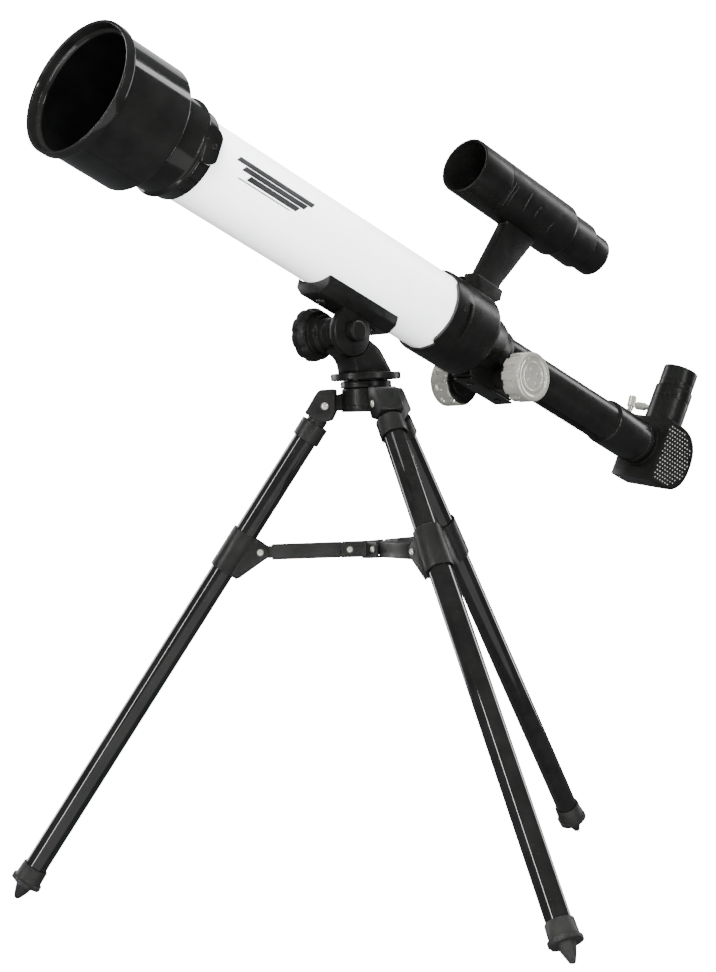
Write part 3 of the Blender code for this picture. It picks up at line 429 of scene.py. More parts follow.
def studio():
    """A pale floor that curves up behind, and soft lamps."""
    bm = bmesh.new()
    line = [(-3.0, 0.0)] + [(1.3 + 0.9 * math.sin(a), 0.9 - 0.9 * math.cos(a))
                            for a in [math.pi / 2 * i / 24 for i in range(25)]] + [(2.2, 4.5)]
    rows = [[bm.verts.new((x, y, z)) for y, z in line] for x in (-5.0, 5.0)]
    for i in range(len(line) - 1):
        bm.faces.new((rows[0][i], rows[0][i + 1], rows[1][i + 1], rows[1][i]))
    floor = put(mesh_of(bm), Matrix.Identity(4))
    floor.name = "floor"
    paper = finish("floor_paper", (0.86, 0.865, 0.865), (0.88, 0.885, 0.885), (0.7, 0.8), grain=400.0)
    glow = paper.node_tree.nodes["Principled BSDF"].inputs
    glow["Emission Color"].default_value = (1.0, 1.0, 1.0, 1)
    glow["Emission Strength"].default_value = 14.0
    floor.data.materials.append(paper)
    floor.visible_glossy = floor.visible_diffuse = floor.visible_transmission = False
    floor.visible_shadow = False
    world = bpy.data.worlds.new("studio_air")
    bpy.context.scene.world = world
    world.use_nodes = True
    world.node_tree.nodes["Background"].inputs["Color"].default_value = (0.93, 0.96, 1.0, 1)
    world.node_tree.nodes["Background"].inputs["Strength"].default_value = 0.13
    lamp("front_fill", (-0.6, -3.2, 2.2), (0, 0, 0.35), 2.4, 1.6, 600, False)
    lamp("low_fill", (0.3, -2.6, -0.6), (0, 0, 0.35), 2.4, 0.8, 300, False)
    lamp("top_fill", (0.0, -0.2, 2.8), (0, 0, 0.3), 2.0, 2.0, 420, False)
    lamp("top_panel", (0.0, 1.9, 1.45), (0, 0, 0.4), 2.6, 0.6, 4)
    lamp("under_panel", (0.0, -1.2, -0.6), (0, 0.2, 0.6), 4.0, 1.8, 13)
    lamp("left_strip", (-2.3, -1.9, 0.9), (0, 0, 0.35), 0.14, 2.4, 34)
    lamp("right_strip", (1.9, -2.2, 0.9), (0, 0, 0.35), 0.10, 2.4, 24)
    lamp("left_panel", (-2.0, 1.6, 0.9), (0, 0, 0.4), 0.7, 2.2, 30)
    lamp("right_panel", (2.2, 1.4, 0.9), (0, 0, 0.4), 0.7, 2.2, 24)


def lamp(name, place, target, wide, tall, power, mirrored=True):
    light = bpy.data.lights.new(name, 'AREA')
    light.shape = 'RECTANGLE'
    light.size, light.size_y = wide, tall
    light.energy = power
    made = bpy.data.objects.new(name, light)
    bpy.context.scene.collection.objects.link(made)
    made.location = place
    made.visible_glossy = mirrored
    made.visible_camera = False
    made.rotation_euler = (Vector(target) - Vector(place)).to_track_quat('-Z', 'Y').to_euler()


# ------------------------------------------------------------------ tripod
def dome(half):
    """Half of a rivet: its shank and low domed head."""
    return [(0.0, half + 0.0013), (RIVET_HEAD * 0.3, half + 0.00127), (RIVET_HEAD * 0.55, half + 0.0011),
            (RIVET_HEAD * 0.8, half + 0.0008), (RIVET_HEAD * 0.96, half + 0.00045),
            (RIVET_HEAD, half + GAP), (RIVET, half + GAP)]


def rivet(half, place):
    """A domed rivet across Y."""
    points = dome(half)
    return turned(points + [(r, -z) for r, z in reversed(points)], place @ turn(-90, 'X'), 32)


def hub():
    skirt = HUB_LOW + 0.0016
    body = turned([(HUB_R - 0.0008, HUB_TOP), (HUB_R, HUB_TOP - 0.0008), (HUB_R, HUB_LOW + 0.0042),
                   (HUB_R - 0.00025, HUB_LOW + 0.0040), (HUB_R, HUB_LOW + 0.0038), (HUB_R, skirt + 0.0006),
                   (HUB_R + 0.0005, skirt), (HUB_R + 0.0003, HUB_LOW), (0.0110, HUB_LOW),
                   (0.0110, HUB_LOW + 0.0060), (BOLT_HOLE, HUB_LOW + 0.0060), (BOLT_HOLE, HUB_TOP)],
                  TRIPOD, 96, True, 0.0003)
    for key in "abc":
        upright = leg_frames(key)[1]
        outline = ([(HUB_R - 0.003, HUB_LOW + 0.0012), (LEG_PIN_R - 0.002, HUB_LOW + 0.0012)]
                   + arc((LEG_PIN_R, LEG_PIN_Z), 0.0048, -45, 80, 12) + [(HUB_R - 0.003, HUB_TOP - 0.0020)])
        lug = plate(outline, -LUG_HALF, LUG_HALF, (X, Z), upright, 0.0003)
        hole = rod(RIVET + GAP, (LEG_PIN_R, -0.01, LEG_PIN_Z), (LEG_PIN_R, 0.01, LEG_PIN_Z), upright, 32)
        weld(body, lug)
        cut(body, hole)
    show("hub_casting", body, SATIN_BLACK, "satin_black", "tripod_hub", "hub_body")
    ring = turned([(HUB_R, RING_TOP), (HUB_R + 0.0006, RING_TOP - 0.0006), (HUB_R + 0.0006, HUB_TOP + GAP),
                   (BOLT_HOLE, HUB_TOP + GAP), (BOLT_HOLE, RING_TOP)], TRIPOD, 96, True, 0.0003)
    show("hub_ring_turned", ring, SATIN_BLACK, "gloss_black", "tripod_hub", "hub_ring")
    bolt = loose(rod(0.0030, (0, 0, HUB_LOW + 0.003), (0, 0, DISC_LOW + 0.0032), TRIPOD, 32),
                 rod(0.0058, (0, 0, HUB_LOW + 0.0012), (0, 0, HUB_LOW + 0.0060 - GAP), TRIPOD, 6,
                     ease=0.0003))
    show("pan_bolt_hex", bolt, NICKEL, "nickel", "tripod_hub", "pan_bolt")


def foot_shape(r, z, angle):
    """Four shallow fins down the cone, and a skirt that dips between them."""
    tip = -TIP_DOWN
    if z < tip + 0.0090:
        return r * (1 + 0.10 * max(0.0, math.cos(4 * angle)) ** 6)
    if r > 0.0099:
        return r - 0.0009 * max(0.0, -math.cos(4 * angle)) ** 2
    return r


def leg(key):
    leg_frame, upright, brace = leg_frames(key)
    body, prefix = "leg_" + key, "leg_" + key + "_"
    outline = ([(-0.0085, -0.0060), (-0.0030, -0.0114), (0.0093, -0.0114), (0.0098, 0.0020)]
               + arc((0.0045, 0.0045), 0.0052, 0, 62, 10) + [(0.0008, 0.0137), (-0.0076, 0.0010)])
    top, end = -0.0140, -0.0270
    seat = top - 0.0030
    clevis = plate(outline, -CHEEK, CHEEK, (X, Z), leg_frame, 0.0007, 0.0012)
    neck = rod(0.0068, (0, 0, -0.0060), (0, 0, top - 0.002), leg_frame, 48)
    ferrule = turned([(0.0040, top), (COLLAR, top), (COLLAR, end), (LEG_TUBE + GAP, end),
                      (LEG_TUBE + GAP, seat), (0.0040, seat)], leg_frame, 72, True, 0.0004)
    slot = plate([(-0.02, -0.0150), (-0.0018, -0.0072), (0.0056, -0.0040), (0.0060, 0.0040),
                  (0.0040, 0.0140), (-0.02, 0.0200)], -LUG_HALF - 0.0004, LUG_HALF + 0.0004, (X, Z),
                 leg_frame)
    hole = rod(RIVET + GAP, (0, -0.02, 0), (0, 0.02, 0), leg_frame, 32)
    cut(weld(clevis, neck, ferrule), slot, hole)
    show(prefix + "clevis_moulding", clevis, CHARCOAL, "charcoal", body, prefix + "clevis")
    show(prefix + "pivot_rivet_dome", rivet(CHEEK, leg_frame), NICKEL, "nickel", body,
         prefix + "pivot_rivet")

    shaft = tube(LEG_TUBE, LEG_TUBE - LEG_WALL, -TIP_DOWN + 0.0170, top - 0.0033, leg_frame, 96)
    show(prefix + "tube_anodised", shaft, LEG_BLACK, "leg_black", body, prefix + "tube")

    high, low = -0.1028, -0.1336
    sleeve = turned([(COLLAR, high), (COLLAR, low), (LEG_TUBE + GAP, low), (LEG_TUBE + GAP, high)],
                    leg_frame, 72, True, 0.0005)
    web = ([(-0.0070, low + 0.0002), (-0.0120, low + 0.0002)]
           + arc((-BRACE_IN, -BRACE_DOWN), 0.0056, 215, 95, 14) + [(-0.0070, high - 0.0002)])
    gusset = plate(web, -0.0064, 0.0064, (X, Z), leg_frame, 0.0003)
    bore = rod(LEG_TUBE + GAP, (0, 0, low - 0.01), (0, 0, high + 0.01), leg_frame, 72)
    mouth = block((-0.05, -SLOT_HALF, low - 0.01), (-COLLAR - 0.0002, SLOT_HALF, high + 0.01), leg_frame)
    eye = rod(BRACE_RIVET + GAP, (-BRACE_IN, -0.02, -BRACE_DOWN), (-BRACE_IN, 0.02, -BRACE_DOWN),
              leg_frame, 32)
    cut(weld(sleeve, gusset), mouth, bore, eye)
    show(prefix + "sleeve_moulding", sleeve, CHARCOAL, "charcoal", body, prefix + "sleeve")

    tip = -TIP_DOWN
    profile = [(0.0, tip + 0.0245), (0.0090, tip + 0.0245), (0.0094, tip + 0.0239), (0.0097, tip + 0.0150),
               (0.0099, tip + 0.0138), (0.0112, tip + 0.0134), (0.0112, tip + 0.0104),
               (0.0104, tip + 0.0101), (0.0062, tip + 0.0101), (0.0058, tip + 0.0092),
               (0.0050, tip + 0.0064), (0.0038, tip + 0.0030),
               (0.0029, tip + 0.0008)] + arc((0.0, tip), FOOT_TIP, 0, -90,
                                             8)[1:-1] + [(0.0, tip - FOOT_TIP)]
    foot = turned(profile, leg_frame, 96, shape=foot_shape)
    bore = rod(LEG_TUBE + GAP, (0, 0, tip + 0.0167), (0, 0, tip + 0.05), leg_frame, 72)
    ground = block((FOOT_R - 0.02, -0.02, -0.02), (FOOT_R + 0.02, 0.02, 0), upright)
    cut(foot, bore, ground)
    show(prefix + "foot_rubber", foot, RUBBER, "rubber", body, prefix + "foot")

    stud = rod(BRACE_RIVET, (0, -0.0072, 0), (0, 0.0072, 0), brace, 32)
    heads = [rod(RIVET_HEAD, (0, s * (0.0064 + GAP), 0), (0, s * 0.0078, 0), brace, 32, RIVET_HEAD * 0.62,
                 0.0005) for s in (-1, 1)]
    show(prefix + "brace_rivet_head", loose(stud, *heads), NICKEL, "nickel", body, prefix + "brace_rivet")
    arm(key, brace)


def arm(key, brace):
    """A folded sheet channel, open below, with a rounded tongue at each end."""
    half, wall = ARM_HEIGHT / 2, 0.0011
    start, end = -0.0078, -ARM_LENGTH + 0.0068
    section = eased([(-ARM_HALF, -half), (-ARM_HALF, half), (ARM_HALF, half), (ARM_HALF, -half),
                     (ARM_HALF - wall, -half), (ARM_HALF - wall, half - wall),
                     (-ARM_HALF + wall, half - wall), (-ARM_HALF + wall, -half)], 0.0009, True, 4)
    channel = plate(section, end, start, (Y, Z), brace, 0.0002)
    outer = plate(arc((0, 0), 0.0041, 90, -90, 20) + [(-0.0100, -0.0041), (-0.0100, 0.0041)], -0.0040,
                  0.0040, (X, Z), brace, 0.0003)
    inner = plate(arc((-ARM_LENGTH, 0), 0.0030, 90, 270, 16) + [(end + 0.002, -0.0030),
                                                                (end + 0.002, 0.0030)], -0.0040, 0.0040,
                  (X, Z), brace, 0.0003)
    eye = rod(BRACE_RIVET + GAP, (0, -0.02, 0), (0, 0.02, 0), brace, 32)
    weld(channel, outer, inner)
    cut(channel, eye)
    show("brace_arm_" + key + "_channel", channel, BRACE_STEEL, "brace_steel", "brace_arm_" + key,
         "brace_arm_" + key)


def brace_hub():
    low, high = BRACE_Z - ARM_HEIGHT / 2, BRACE_Z + ARM_HEIGHT / 2
    reach, sheet, corner_at = 0.0212, 0.0013, SLOT_HALF / math.sin(math.radians(60))
    web = rod(0.0074, (0, 0, low - 0.0011), (0, 0, low + 0.0002), TRIPOD, 64, ease=0.0002)
    heads = []
    lean = math.radians(60)
    for key in "abc":
        upright = leg_frames(key)[1]
        along = reach - corner_at * math.cos(lean)
        corner = Vector((corner_at, 0))
        tip = corner + along * Vector((math.cos(lean), math.sin(lean)))
        inset = sheet * Vector((math.sin(lean), -math.cos(lean)))
        inner = Vector((corner_at + sheet / math.sin(lean), 0))
        outline = [corner, tip, tip + inset, inner, Vector(((tip + inset).x, -(tip + inset).y)),
                   Vector((tip.x, -tip.y))]
        cheek = plate([tuple(p) for p in outline], low, high, (X, Y), upright @ turn(60, 'Z'), 0.0002,
                      0.0009)
        weld(web, cheek)
        for side in (-1, 1):
            heads.append(rod(RIVET_HEAD, (HUB_PIN_R, side * (SLOT_HALF + 0.0006), BRACE_Z),
                             (HUB_PIN_R, side * (SLOT_HALF + 0.0026), BRACE_Z), upright, 32,
                             RIVET_HEAD * 0.62, 0.0005))
    show("brace_hub_sheet", web, BRACE_STEEL, "brace_steel", "brace_hub", "brace_hub")
    show("brace_hub_rivets", loose(*heads), NICKEL, "nickel", "brace_hub")


# ------------------------------------------------------------------ pan and tilt head
def pan_post():
    disc = turned([(0.0, DISC_TOP), (DISC_R - 0.0030, DISC_TOP), (DISC_R - 0.0024, DISC_TOP - 0.0003),
                   (DISC_R - 0.0018, DISC_TOP), (DISC_R, DISC_TOP), (DISC_R, DISC_LOW), (0.0, DISC_LOW)],
                  PAN, 128, False, 0.0006)
    collar = rod(0.0150, (0, 0, RING_TOP + GAP), (0, 0, DISC_LOW + 0.001), PAN, 96)
    y, z = PAN_PIN.y, PAN_PIN.z
    outline = [(0.0175, DISC_TOP - 0.001), (0.0055, 0.3725), (-0.0060, 0.3795), (y, z), (-0.0290, 0.3710),
               (-0.0210, 0.3665), (-0.0180, 0.3610), (-0.0175, DISC_TOP - 0.001)]
    post = plate(outline, -HEAD_HALF, HEAD_HALF, (Y, Z), PAN, 0.0008, 0.0036)
    ear_room = rod(EAR_R + 0.0004, (TONGUE[1] - 0.0002, y, z), (0.02, y, z), PAN, 96)
    hub_room = rod(TONGUE_R + 0.0004, (-0.02, y, z), (TONGUE[0] + 0.0002, y, z), PAN, 96)
    tongue = rod(TONGUE_R - 0.0003, (TONGUE[0], y, z), (TONGUE[1], y, z), PAN, 96)
    tilt_hole = rod(BOLT_HOLE, (-0.02, y, z), (0.02, y, z), PAN, 32)
    pan_hole = rod(BOLT_HOLE, (0, 0, RING_TOP - 0.01), (0, 0, DISC_LOW + 0.0036), PAN, 32)
    weld(disc, collar, post)
    cut(disc, ear_room, hub_room)
    weld(disc, tongue)
    cut(disc, tilt_hole, pan_hole)
    show("pan_post_casting", disc, SATIN_BLACK, "satin_black", "pan_head", "pan_post")


def saddle():
    low, chamfer, top = AXIS_LIFT - SADDLE_LOW, AXIS_LIFT - 0.0312, AXIS_LIFT - 0.0200
    outline = eased([(-0.0092, low), (0.0092, low), (SADDLE_HALF, chamfer), (SADDLE_HALF, top),
                     (-SADDLE_HALF, top), (-SADDLE_HALF, chamfer)], 0.0009)
    body = plate(outline, SADDLE_REAR, SADDLE_FRONT, (X, Y), TILT, 0.0005)
    seat = rod(TUBE + GAP, (0, AXIS_LIFT, -0.06), (0, AXIS_LIFT, 0.06), TILT, 160)
    ear_top = low + 0.0010
    ear = plate(arc((0, 0), EAR_R, 40, -220, 60) + [(-0.0130, ear_top), (0.0130, ear_top)],
                TONGUE[1] + GAP, HEAD_HALF, (Z * -1, Y), TILT, 0.0009)
    hole = rod(BOLT_HOLE, (-0.03, 0, 0), (0.03, 0, 0), TILT, 32)
    weld(body, ear)
    sinks = [rod(0.0024, (0, low - 0.01, s), (0, AXIS_LIFT - TUBE - 0.0016, s), TILT, 32)
             for s in (0.0262, -0.0235)]
    cut(body, seat, hole, *sinks)
    show("saddle_casting", body, SATIN_BLACK, "satin_black", "telescope", "saddle")
    for name, spot in (("saddle_screw_front", 0.0262), ("saddle_screw_rear", -0.0235)):
        screw = screw_shape((0, low - 0.0020, spot), Y, 0.0036, 0.0017, 0.0020,
                            AXIS_LIFT - TUBE - 0.0020 - low + 0.0020, TILT)
        show(name + "_head", screw, DARK_STEEL, "nickel", "telescope", name)


def screw_shape(top, axis, head, depth, shank, length, place):
    """A pan-head screw with a cross recess; top is the head's outer face, axis points into the work."""
    aim = place @ Matrix.Translation(Vector(top)) @ Z.rotation_difference(axis).to_matrix().to_4x4()
    profile = [(0.0, 0.0), (head * 0.70, 0.0), (head * 0.92, depth * 0.35), (head, depth), (shank, depth),
               (shank, length), (0.0, length)]
    made = turned(profile, aim, 40, False, depth * 0.15)
    bars = [block((-head * a, -head * b, -depth), (head * a, head * b, depth * 0.55), aim)
            for a, b in ((0.58, 0.13), (0.13, 0.58))]
    return cut(made, *bars)


def lobed(r, z, angle):
    """Ten shallow scallops round the clamp knob's rim."""
    if r < 0.0150:
        return r
    dip = 0.5 + 0.5 * math.cos(10 * (angle - math.radians(18)))
    return r - 0.0009 * dip ** 4 * min(1.0, (r - 0.0150) / 0.0025)


def tilt_clamp():
    side = TILT @ turn(90, 'Y')
    bolt = rod(0.0030, (-0.0255, 0, 0), (HEAD_HALF + 0.001, 0, 0), TILT, 32)
    show("tilt_bolt_shank", bolt, NICKEL, "nickel", "telescope", "tilt_bolt")
    cap = turned([(0.0, 0.01620), (0.0058, 0.01620), (0.0071, 0.0153), (0.0074, HEAD_HALF + GAP),
                  (BOLT_HOLE, HEAD_HALF + GAP), (BOLT_HOLE, HEAD_HALF + 0.0014), (0.0, HEAD_HALF + 0.0014)],
                 side, 72, False, 0.0005)
    show("tilt_cap_turned", cap, SATIN_BLACK, "satin_black", "telescope", "tilt_cap")
    face, back, outer, collar = -0.0250, -0.0332, 0.0184, TONGUE_R - 0.0003
    profile = [(BOLT_HOLE, -0.0200), (BOLT_HOLE, -0.0043), (collar, -0.0043), (collar, -0.0102),
               (collar - 0.0004, -0.0106), (collar, -0.0110), (collar, -0.0150), (0.0128, -0.0160),
               (0.0128, -0.0215), (0.0148, -0.0221), (0.0156, -0.0216), (0.0165, -0.0222),
               (outer - 0.0006, face), (outer, face - 0.0012), (outer, back + 0.0015),
               (outer - 0.0014, back), (0.0136, back), (0.0128, back + 0.0009), (0.0, back + 0.0009)]
    knob = turned(profile, side, 200, False, 0.0004, lobed)
    show("tilt_knob_lobed", knob, SATIN_BLACK, "satin_black", "tilt_clamp", "tilt_knob")


# ------------------------------------------------------------------ optical tube
def lens_shape(radius, low, high, front, rear, place):
    points = [(radius * i / 12, high + front * (1 - (i / 12) ** 2)) for i in range(13)]
    points += [(radius * i / 12, low - rear * (1 - (i / 12) ** 2)) for i in range(12, -1, -1)]
    return turned(points, place, 72)


def wrap(outline, radius, thick, place, cells=24):
    """A thin printed patch on a tube: outline points are (round the tube in metres, along it)."""
    bm = bmesh.new()
    base = [bm.verts.new((a, z, 0)) for a, z in outline]
    bm.faces.new(base)
    low, high = min(a for a, _ in outline), max(a for a, _ in outline)
    for i in range(1, cells):
        at = low + (high - low) * i / cells
        bmesh.ops.bisect_plane(bm, geom=bm.verts[:] + bm.edges[:] + bm.faces[:], plane_co=(at, 0, 0),
                               plane_no=(1, 0, 0))
    grown = bmesh.ops.extrude_face_region(bm, geom=bm.faces[:])
    upper = {g for g in grown["geom"] if isinstance(g, bmesh.types.BMVert)}
    for vert in bm.verts:
        angle, z = vert.co.x / radius, vert.co.y
        reach = radius + (thick if vert in upper else -thick)
        vert.co = (reach * math.cos(angle), reach * math.sin(angle), z)
    return put(mesh_of(bm), place)


def optical_tube():
    show("tube_enamel", tube(TUBE, TUBE - TUBE_WALL, TUBE_REAR, TUBE_FRONT, OPTICS, 160, 0.0002), WHITE,
         "tube_white", "telescope", "main_tube")
    seat = TUBE_FRONT + GAP
    cell = turned([(0.0318, 0.2160), (CELL, 0.2150), (CELL, 0.1834), (0.0331, 0.1825), (0.0343, 0.1818),
                   (0.0343, 0.1800), (0.0337, 0.1793), (0.0320, 0.1790), (0.0312, 0.1690),
                   (TUBE + GAP, 0.1690), (TUBE + GAP, seat), (0.0250, seat), (0.0250, seat + 0.0035),
                   (0.0264, seat + 0.0035), (0.0264, 0.2160)], OPTICS, 144, True, 0.0004)
    tab_at = OPTICS @ turn(-3, 'Z')
    outline = [(-0.0130, 0.1812), (-0.0120, 0.1735), (-0.0085, 0.1693), (0.0085, 0.1693), (0.0120, 0.1735),
               (0.0130, 0.1812)]
    tab = plate(outline, 0.0296, 0.0349, (Y, Z), tab_at, 0.0006, 0.0022)
    hole = rod(SCREW_HOLE, (0.02, 0, CELL_SCREW_Z), (0.05, 0, CELL_SCREW_Z), tab_at, 32)
    weld(cell, tab)
    cut(cell, hole)
    show("lens_cell_moulding", cell, GLOSS_BLACK, "gloss_black", "telescope", "lens_cell")
    screw = screw_shape((0.0362, 0, CELL_SCREW_Z), X * -1, 0.0021, 0.0011, 0.0014, 0.0068, tab_at)
    show("cell_screw_head", screw, DARK_STEEL, "nickel", "telescope", "cell_screw")
    low = seat + 0.0035 + GAP
    show("objective_glass", lens_shape(0.0260, low, low + 0.0046, 0.0018, 0.0014, OPTICS), GLASS,
         "lens_glass", "telescope", "objective_lens")
    ring = low + 0.0046 + GAP
    show("lens_ring_turned", tube(0.0261, 0.0240, ring, ring + 0.0035, OPTICS, 96), SATIN_BLACK,
         "satin_black", "telescope", "lens_ring")
    hood = turned([(HOOD_RIM, MOUTH), (HOOD_RIM, MOUTH - 0.0060), (HOOD_RIM - 0.0007, MOUTH - 0.0071),
                   (HOOD, MOUTH - 0.0077), (HOOD, HOOD_REAR + 0.0022), (HOOD - 0.0022, HOOD_REAR),
                   (CELL + GAP, HOOD_REAR), (CELL + GAP, HOOD_REAR + 0.0100),
                   (0.0352, HOOD_REAR + 0.0100), (0.0352, HOOD_REAR + 0.0030),
                   (HOOD_BORE, HOOD_REAR + 0.0030), (HOOD_BORE, MOUTH - 0.0075), (0.0412, MOUTH - 0.0062),
                   (0.0424, MOUTH - 0.0058), (0.0427, MOUTH - 0.0048),
                   (0.0436, MOUTH)], OPTICS, 192, True, 0.0005)
    show("dew_hood_moulding", hood, GLOSS_BLACK, "gloss_black", "telescope", "dew_hood")
    # A thin near-black sheet inside the dew hood: a matte blackened lining whose extra-dark colour is
    # painted shade for the deep hood interior.
    lining = loose(tube(0.0403, 0.0401, HOOD_REAR + 0.0034, MOUTH - 0.0080, OPTICS, 144, 0.0),
                   tube(0.0400, 0.0330, HOOD_REAR + 0.0034, HOOD_REAR + 0.0036, OPTICS, 144, 0.0))
    show("dew_hood_lining_and_painted_shade", lining, BLACKENED_LINING_AND_SHADE, "satin_black", "telescope")
    stripes()


def stripes():
    """A plain printed mark of three slanted bars, the last one with a thin line beside it."""
    bars = []
    for low, high, side, thick in ((0.0800, 0.1500, 0.0046, 0.0019), (0.0860, 0.1440, 0.0004, 0.0019),
                                   (0.0920, 0.1380, -0.0038, 0.0019), (0.0980, 0.1460, -0.0072, 0.0004)):
        lean = 0.0028
        outline = [(side - thick, low), (side + thick, low - lean), (side + thick, high - lean),
                   (side - thick, high)]
        bars.append(wrap(outline, TUBE + 0.00008, 0.00004, OPTICS))
    show("tube_stripes", loose(*bars), INK, "gloss_black", "telescope")


# ------------------------------------------------------------------ focuser
def collar_shape(r, z, angle):
    """Fine grip ribs along the lower part of the collar."""
    ribbed = r > 0.0300 and -0.1140 < z < -0.0800 and -2.7 < math.remainder(angle, TAU) < -0.8
    return r - (0.00014 * (0.5 + 0.5 * math.cos(140 * angle)) if ribbed else 0.0)


def focuser():
    front, rear, neck = -0.0730, -0.1165, -0.1500
    grip = [(0.0312, front - 0.0008), (0.0312, -0.0798), (0.0312, -0.0806), (0.0312, -0.0860),
            (0.0311, -0.1000), (0.0310, -0.1134), (0.0310, -0.1142)]
    housing = turned([(0.0306, front)] + grip + [(0.0308, rear), (0.0290, rear - 0.0025), (0.0232, -0.1235),
                      (0.0213, -0.1365), (0.0176, -0.1460), (0.0172, neck), (DRAW_BORE - 0.0010, neck),
                      (DRAW_BORE - 0.0010, -0.1200), (0.0200, -0.1150), (0.0265, -0.1020),
                      (0.0265, TUBE_REAR - GAP), (TUBE + GAP, TUBE_REAR - GAP), (TUBE + GAP, front)],
                     OPTICS, 560, True, 0.0003, collar_shape)
    drop = 0.0306
    base = block((-0.0086, -drop, -0.1690), (0.0086, -0.0120, -0.1200), OPTICS, 0.0010)
    boss = rod(0.0075, (-0.0225, -PINION_DROP, PINION_Z), (0.0225, -PINION_DROP, PINION_Z), OPTICS, 64,
               ease=0.0005)
    shoe = plate([(-0.1030, 0.0270), (-0.1030, 0.0410), (-0.1325, 0.0410), (-0.1325, 0.0330),
                  (-0.1200, 0.0240)], -0.0095, 0.0095, (Z, Y), OPTICS, 0.0007, 0.0010)
    tab_at = OPTICS @ turn(-12, 'Z')
    tab = cut(turned([(0.0318, -0.0690), (0.0318, -0.0860), (0.0300, -0.0860), (0.0290, -0.0850),
                      (0.0290, -0.0690)], tab_at, 180, True, 0.0004),
              block((-0.05, -0.05, -0.10), (0.0215, 0.05, -0.05), tab_at))
    weld(housing, base, boss, shoe, tab)
    bore = rod(DRAW_BORE, (0, 0, -0.18), (0, 0, -0.1190), OPTICS, 96)
    rack_room = block((-0.0030, -0.0178, -0.18), (0.0030, -0.0100, -0.0950), OPTICS)
    gear_room = block((-0.0056, -0.0320, PINION_Z - 0.0047),
                      (0.0056, -PINION_DROP + 0.0047, PINION_Z + 0.0047), OPTICS)
    shaft_hole = rod(0.0023, (-0.03, -PINION_DROP, PINION_Z), (0.03, -PINION_DROP, PINION_Z), OPTICS, 32)
    groove = plate([(-0.0067, 0.0332), (0.0067, 0.0332), (0.0054, 0.0450), (-0.0054, 0.0450)], -0.1300,
                   -0.09, (X, Y), OPTICS)
    screws = (("cover_screw_front", -0.1320), ("cover_screw_rear", -0.1632))
    holes = [rod(SCREW_HOLE, (0, -0.04, s), (0, -0.0245, s), OPTICS, 32) for _, s in screws]
    track = cut(rod(0.0330, (0, 0, -0.0838), (0, 0, -0.0806), tab_at, 144),
                rod(0.0306, (0, 0, -0.0850), (0, 0, -0.0790), tab_at, 144),
                block((-0.05, -0.05, -0.10), (0.0290, 0.05, -0.07), tab_at))
    cut(housing, bore, rack_room, gear_room, shaft_hole, groove, track, *holes)
    show("focuser_moulding", housing, SATIN_BLACK, "satin_black", "telescope", "focuser_housing")
    ticks = [block((0.0303, -0.0003, -0.0834), (0.0313, 0.0003, -0.0812), tab_at @ turn(a, 'Z'), 0.0001)
             for a in [-21 + 3.5 * i for i in range(8)]]
    show("focuser_track_ticks", loose(*ticks), DARK_STEEL, "charcoal", "telescope")
    boss_screw = screw_shape((0.0326, 0, -0.0770), X * -1, 0.0019, 0.0010, 0.0009, 0.0017,
                             tab_at @ turn(11, 'Z'))
    show("focuser_collar_screw", boss_screw, DARK_STEEL, "nickel", "telescope")

    top = -drop - GAP
    low = top - 0.0015
    cover = block((-0.0082, low, -0.1705), (0.0082, top, -0.1225), OPTICS, 0.0004)
    cut(cover, *[rod(SCREW_HOLE, (0, -0.04, s), (0, -0.0245, s), OPTICS, 32) for _, s in screws])
    show("pinion_cover_plate", cover, SATIN_BLACK, "satin_black", "telescope", "pinion_cover")
    for name, spot in screws:
        screw = screw_shape((0, low - 0.0014, spot), Y, 0.0026, 0.0011, 0.0015, 0.0075, OPTICS)
        show(name + "_head", screw, DARK_STEEL, "nickel", "telescope", name)

    draw = turned([(DRAW, -0.0960), (DRAW, HOLDER_FRONT), (0.0168, HOLDER_FRONT),
                   (0.0175, HOLDER_FRONT - 0.0010), (0.0175, HOLDER_REAR + 0.0052),
                   (0.0172, HOLDER_REAR + 0.0049), (0.0175, HOLDER_REAR + 0.0046),
                   (0.0175, HOLDER_REAR + 0.0008), (0.0168, HOLDER_REAR), (BARREL + 0.0003, HOLDER_REAR),
                   (BARREL + 0.0003, -0.2960), (0.0141, -0.2940), (0.0141, -0.0960)], OPTICS, 128, True,
                  0.0003)
    hole = rod(0.0017, (0, 0.005, HOLDER_SCREW_Z), (0, 0.03, HOLDER_SCREW_Z), OPTICS, 32)
    keyway = block((-0.0027, -0.0180, -0.2790), (0.0027, -0.0147, -0.0950), OPTICS)
    cut(draw, hole, keyway)
    show("draw_tube_semi_gloss", draw, SEMI_GLOSS, "gloss_black", "draw", "draw_tube")
    rack()

    shaft = loose(rod(0.0020, (0, 0, -0.0300), (0, 0, 0.0300), PINION, 32),
                  turned([(0, 0.0050), (0.0038, 0.0050), (0.0038, -0.0050), (0, -0.0050)], PINION, 96,
                         False, 0.0, lambda r, z,
                         a: r - (0.0008 * (math.cos(12 * a) < 0) if r > 0.003 else 0)))
    show("pinion_shaft_steel", shaft, NICKEL, "nickel", "focus_drive", "pinion_shaft")
    for name, side in (("focus_knob_near", 1), ("focus_knob_far", -1)):
        focus_knob(name, side)


def rack():
    """A straight bar with slanted teeth along its lower face."""
    low, high, pitch = -0.2780, -0.1000, 0.0020
    outline = [(-0.0147 - GAP, high), (-0.0147 - GAP, low)]
    count = int((high - low) / pitch)
    for i in range(count):
        z = low + i * pitch
        outline += [(-0.0163, z), (-0.0163, z + 0.0006), (-0.0170, z + 0.0010), (-0.0170, z + 0.0016)]
    bar = plate(outline, -0.0024, 0.0024, (Y, Z), OPTICS)
    show("focus_rack_teeth", bar, SATIN_BLACK, "satin_black", "draw", "focus_rack")


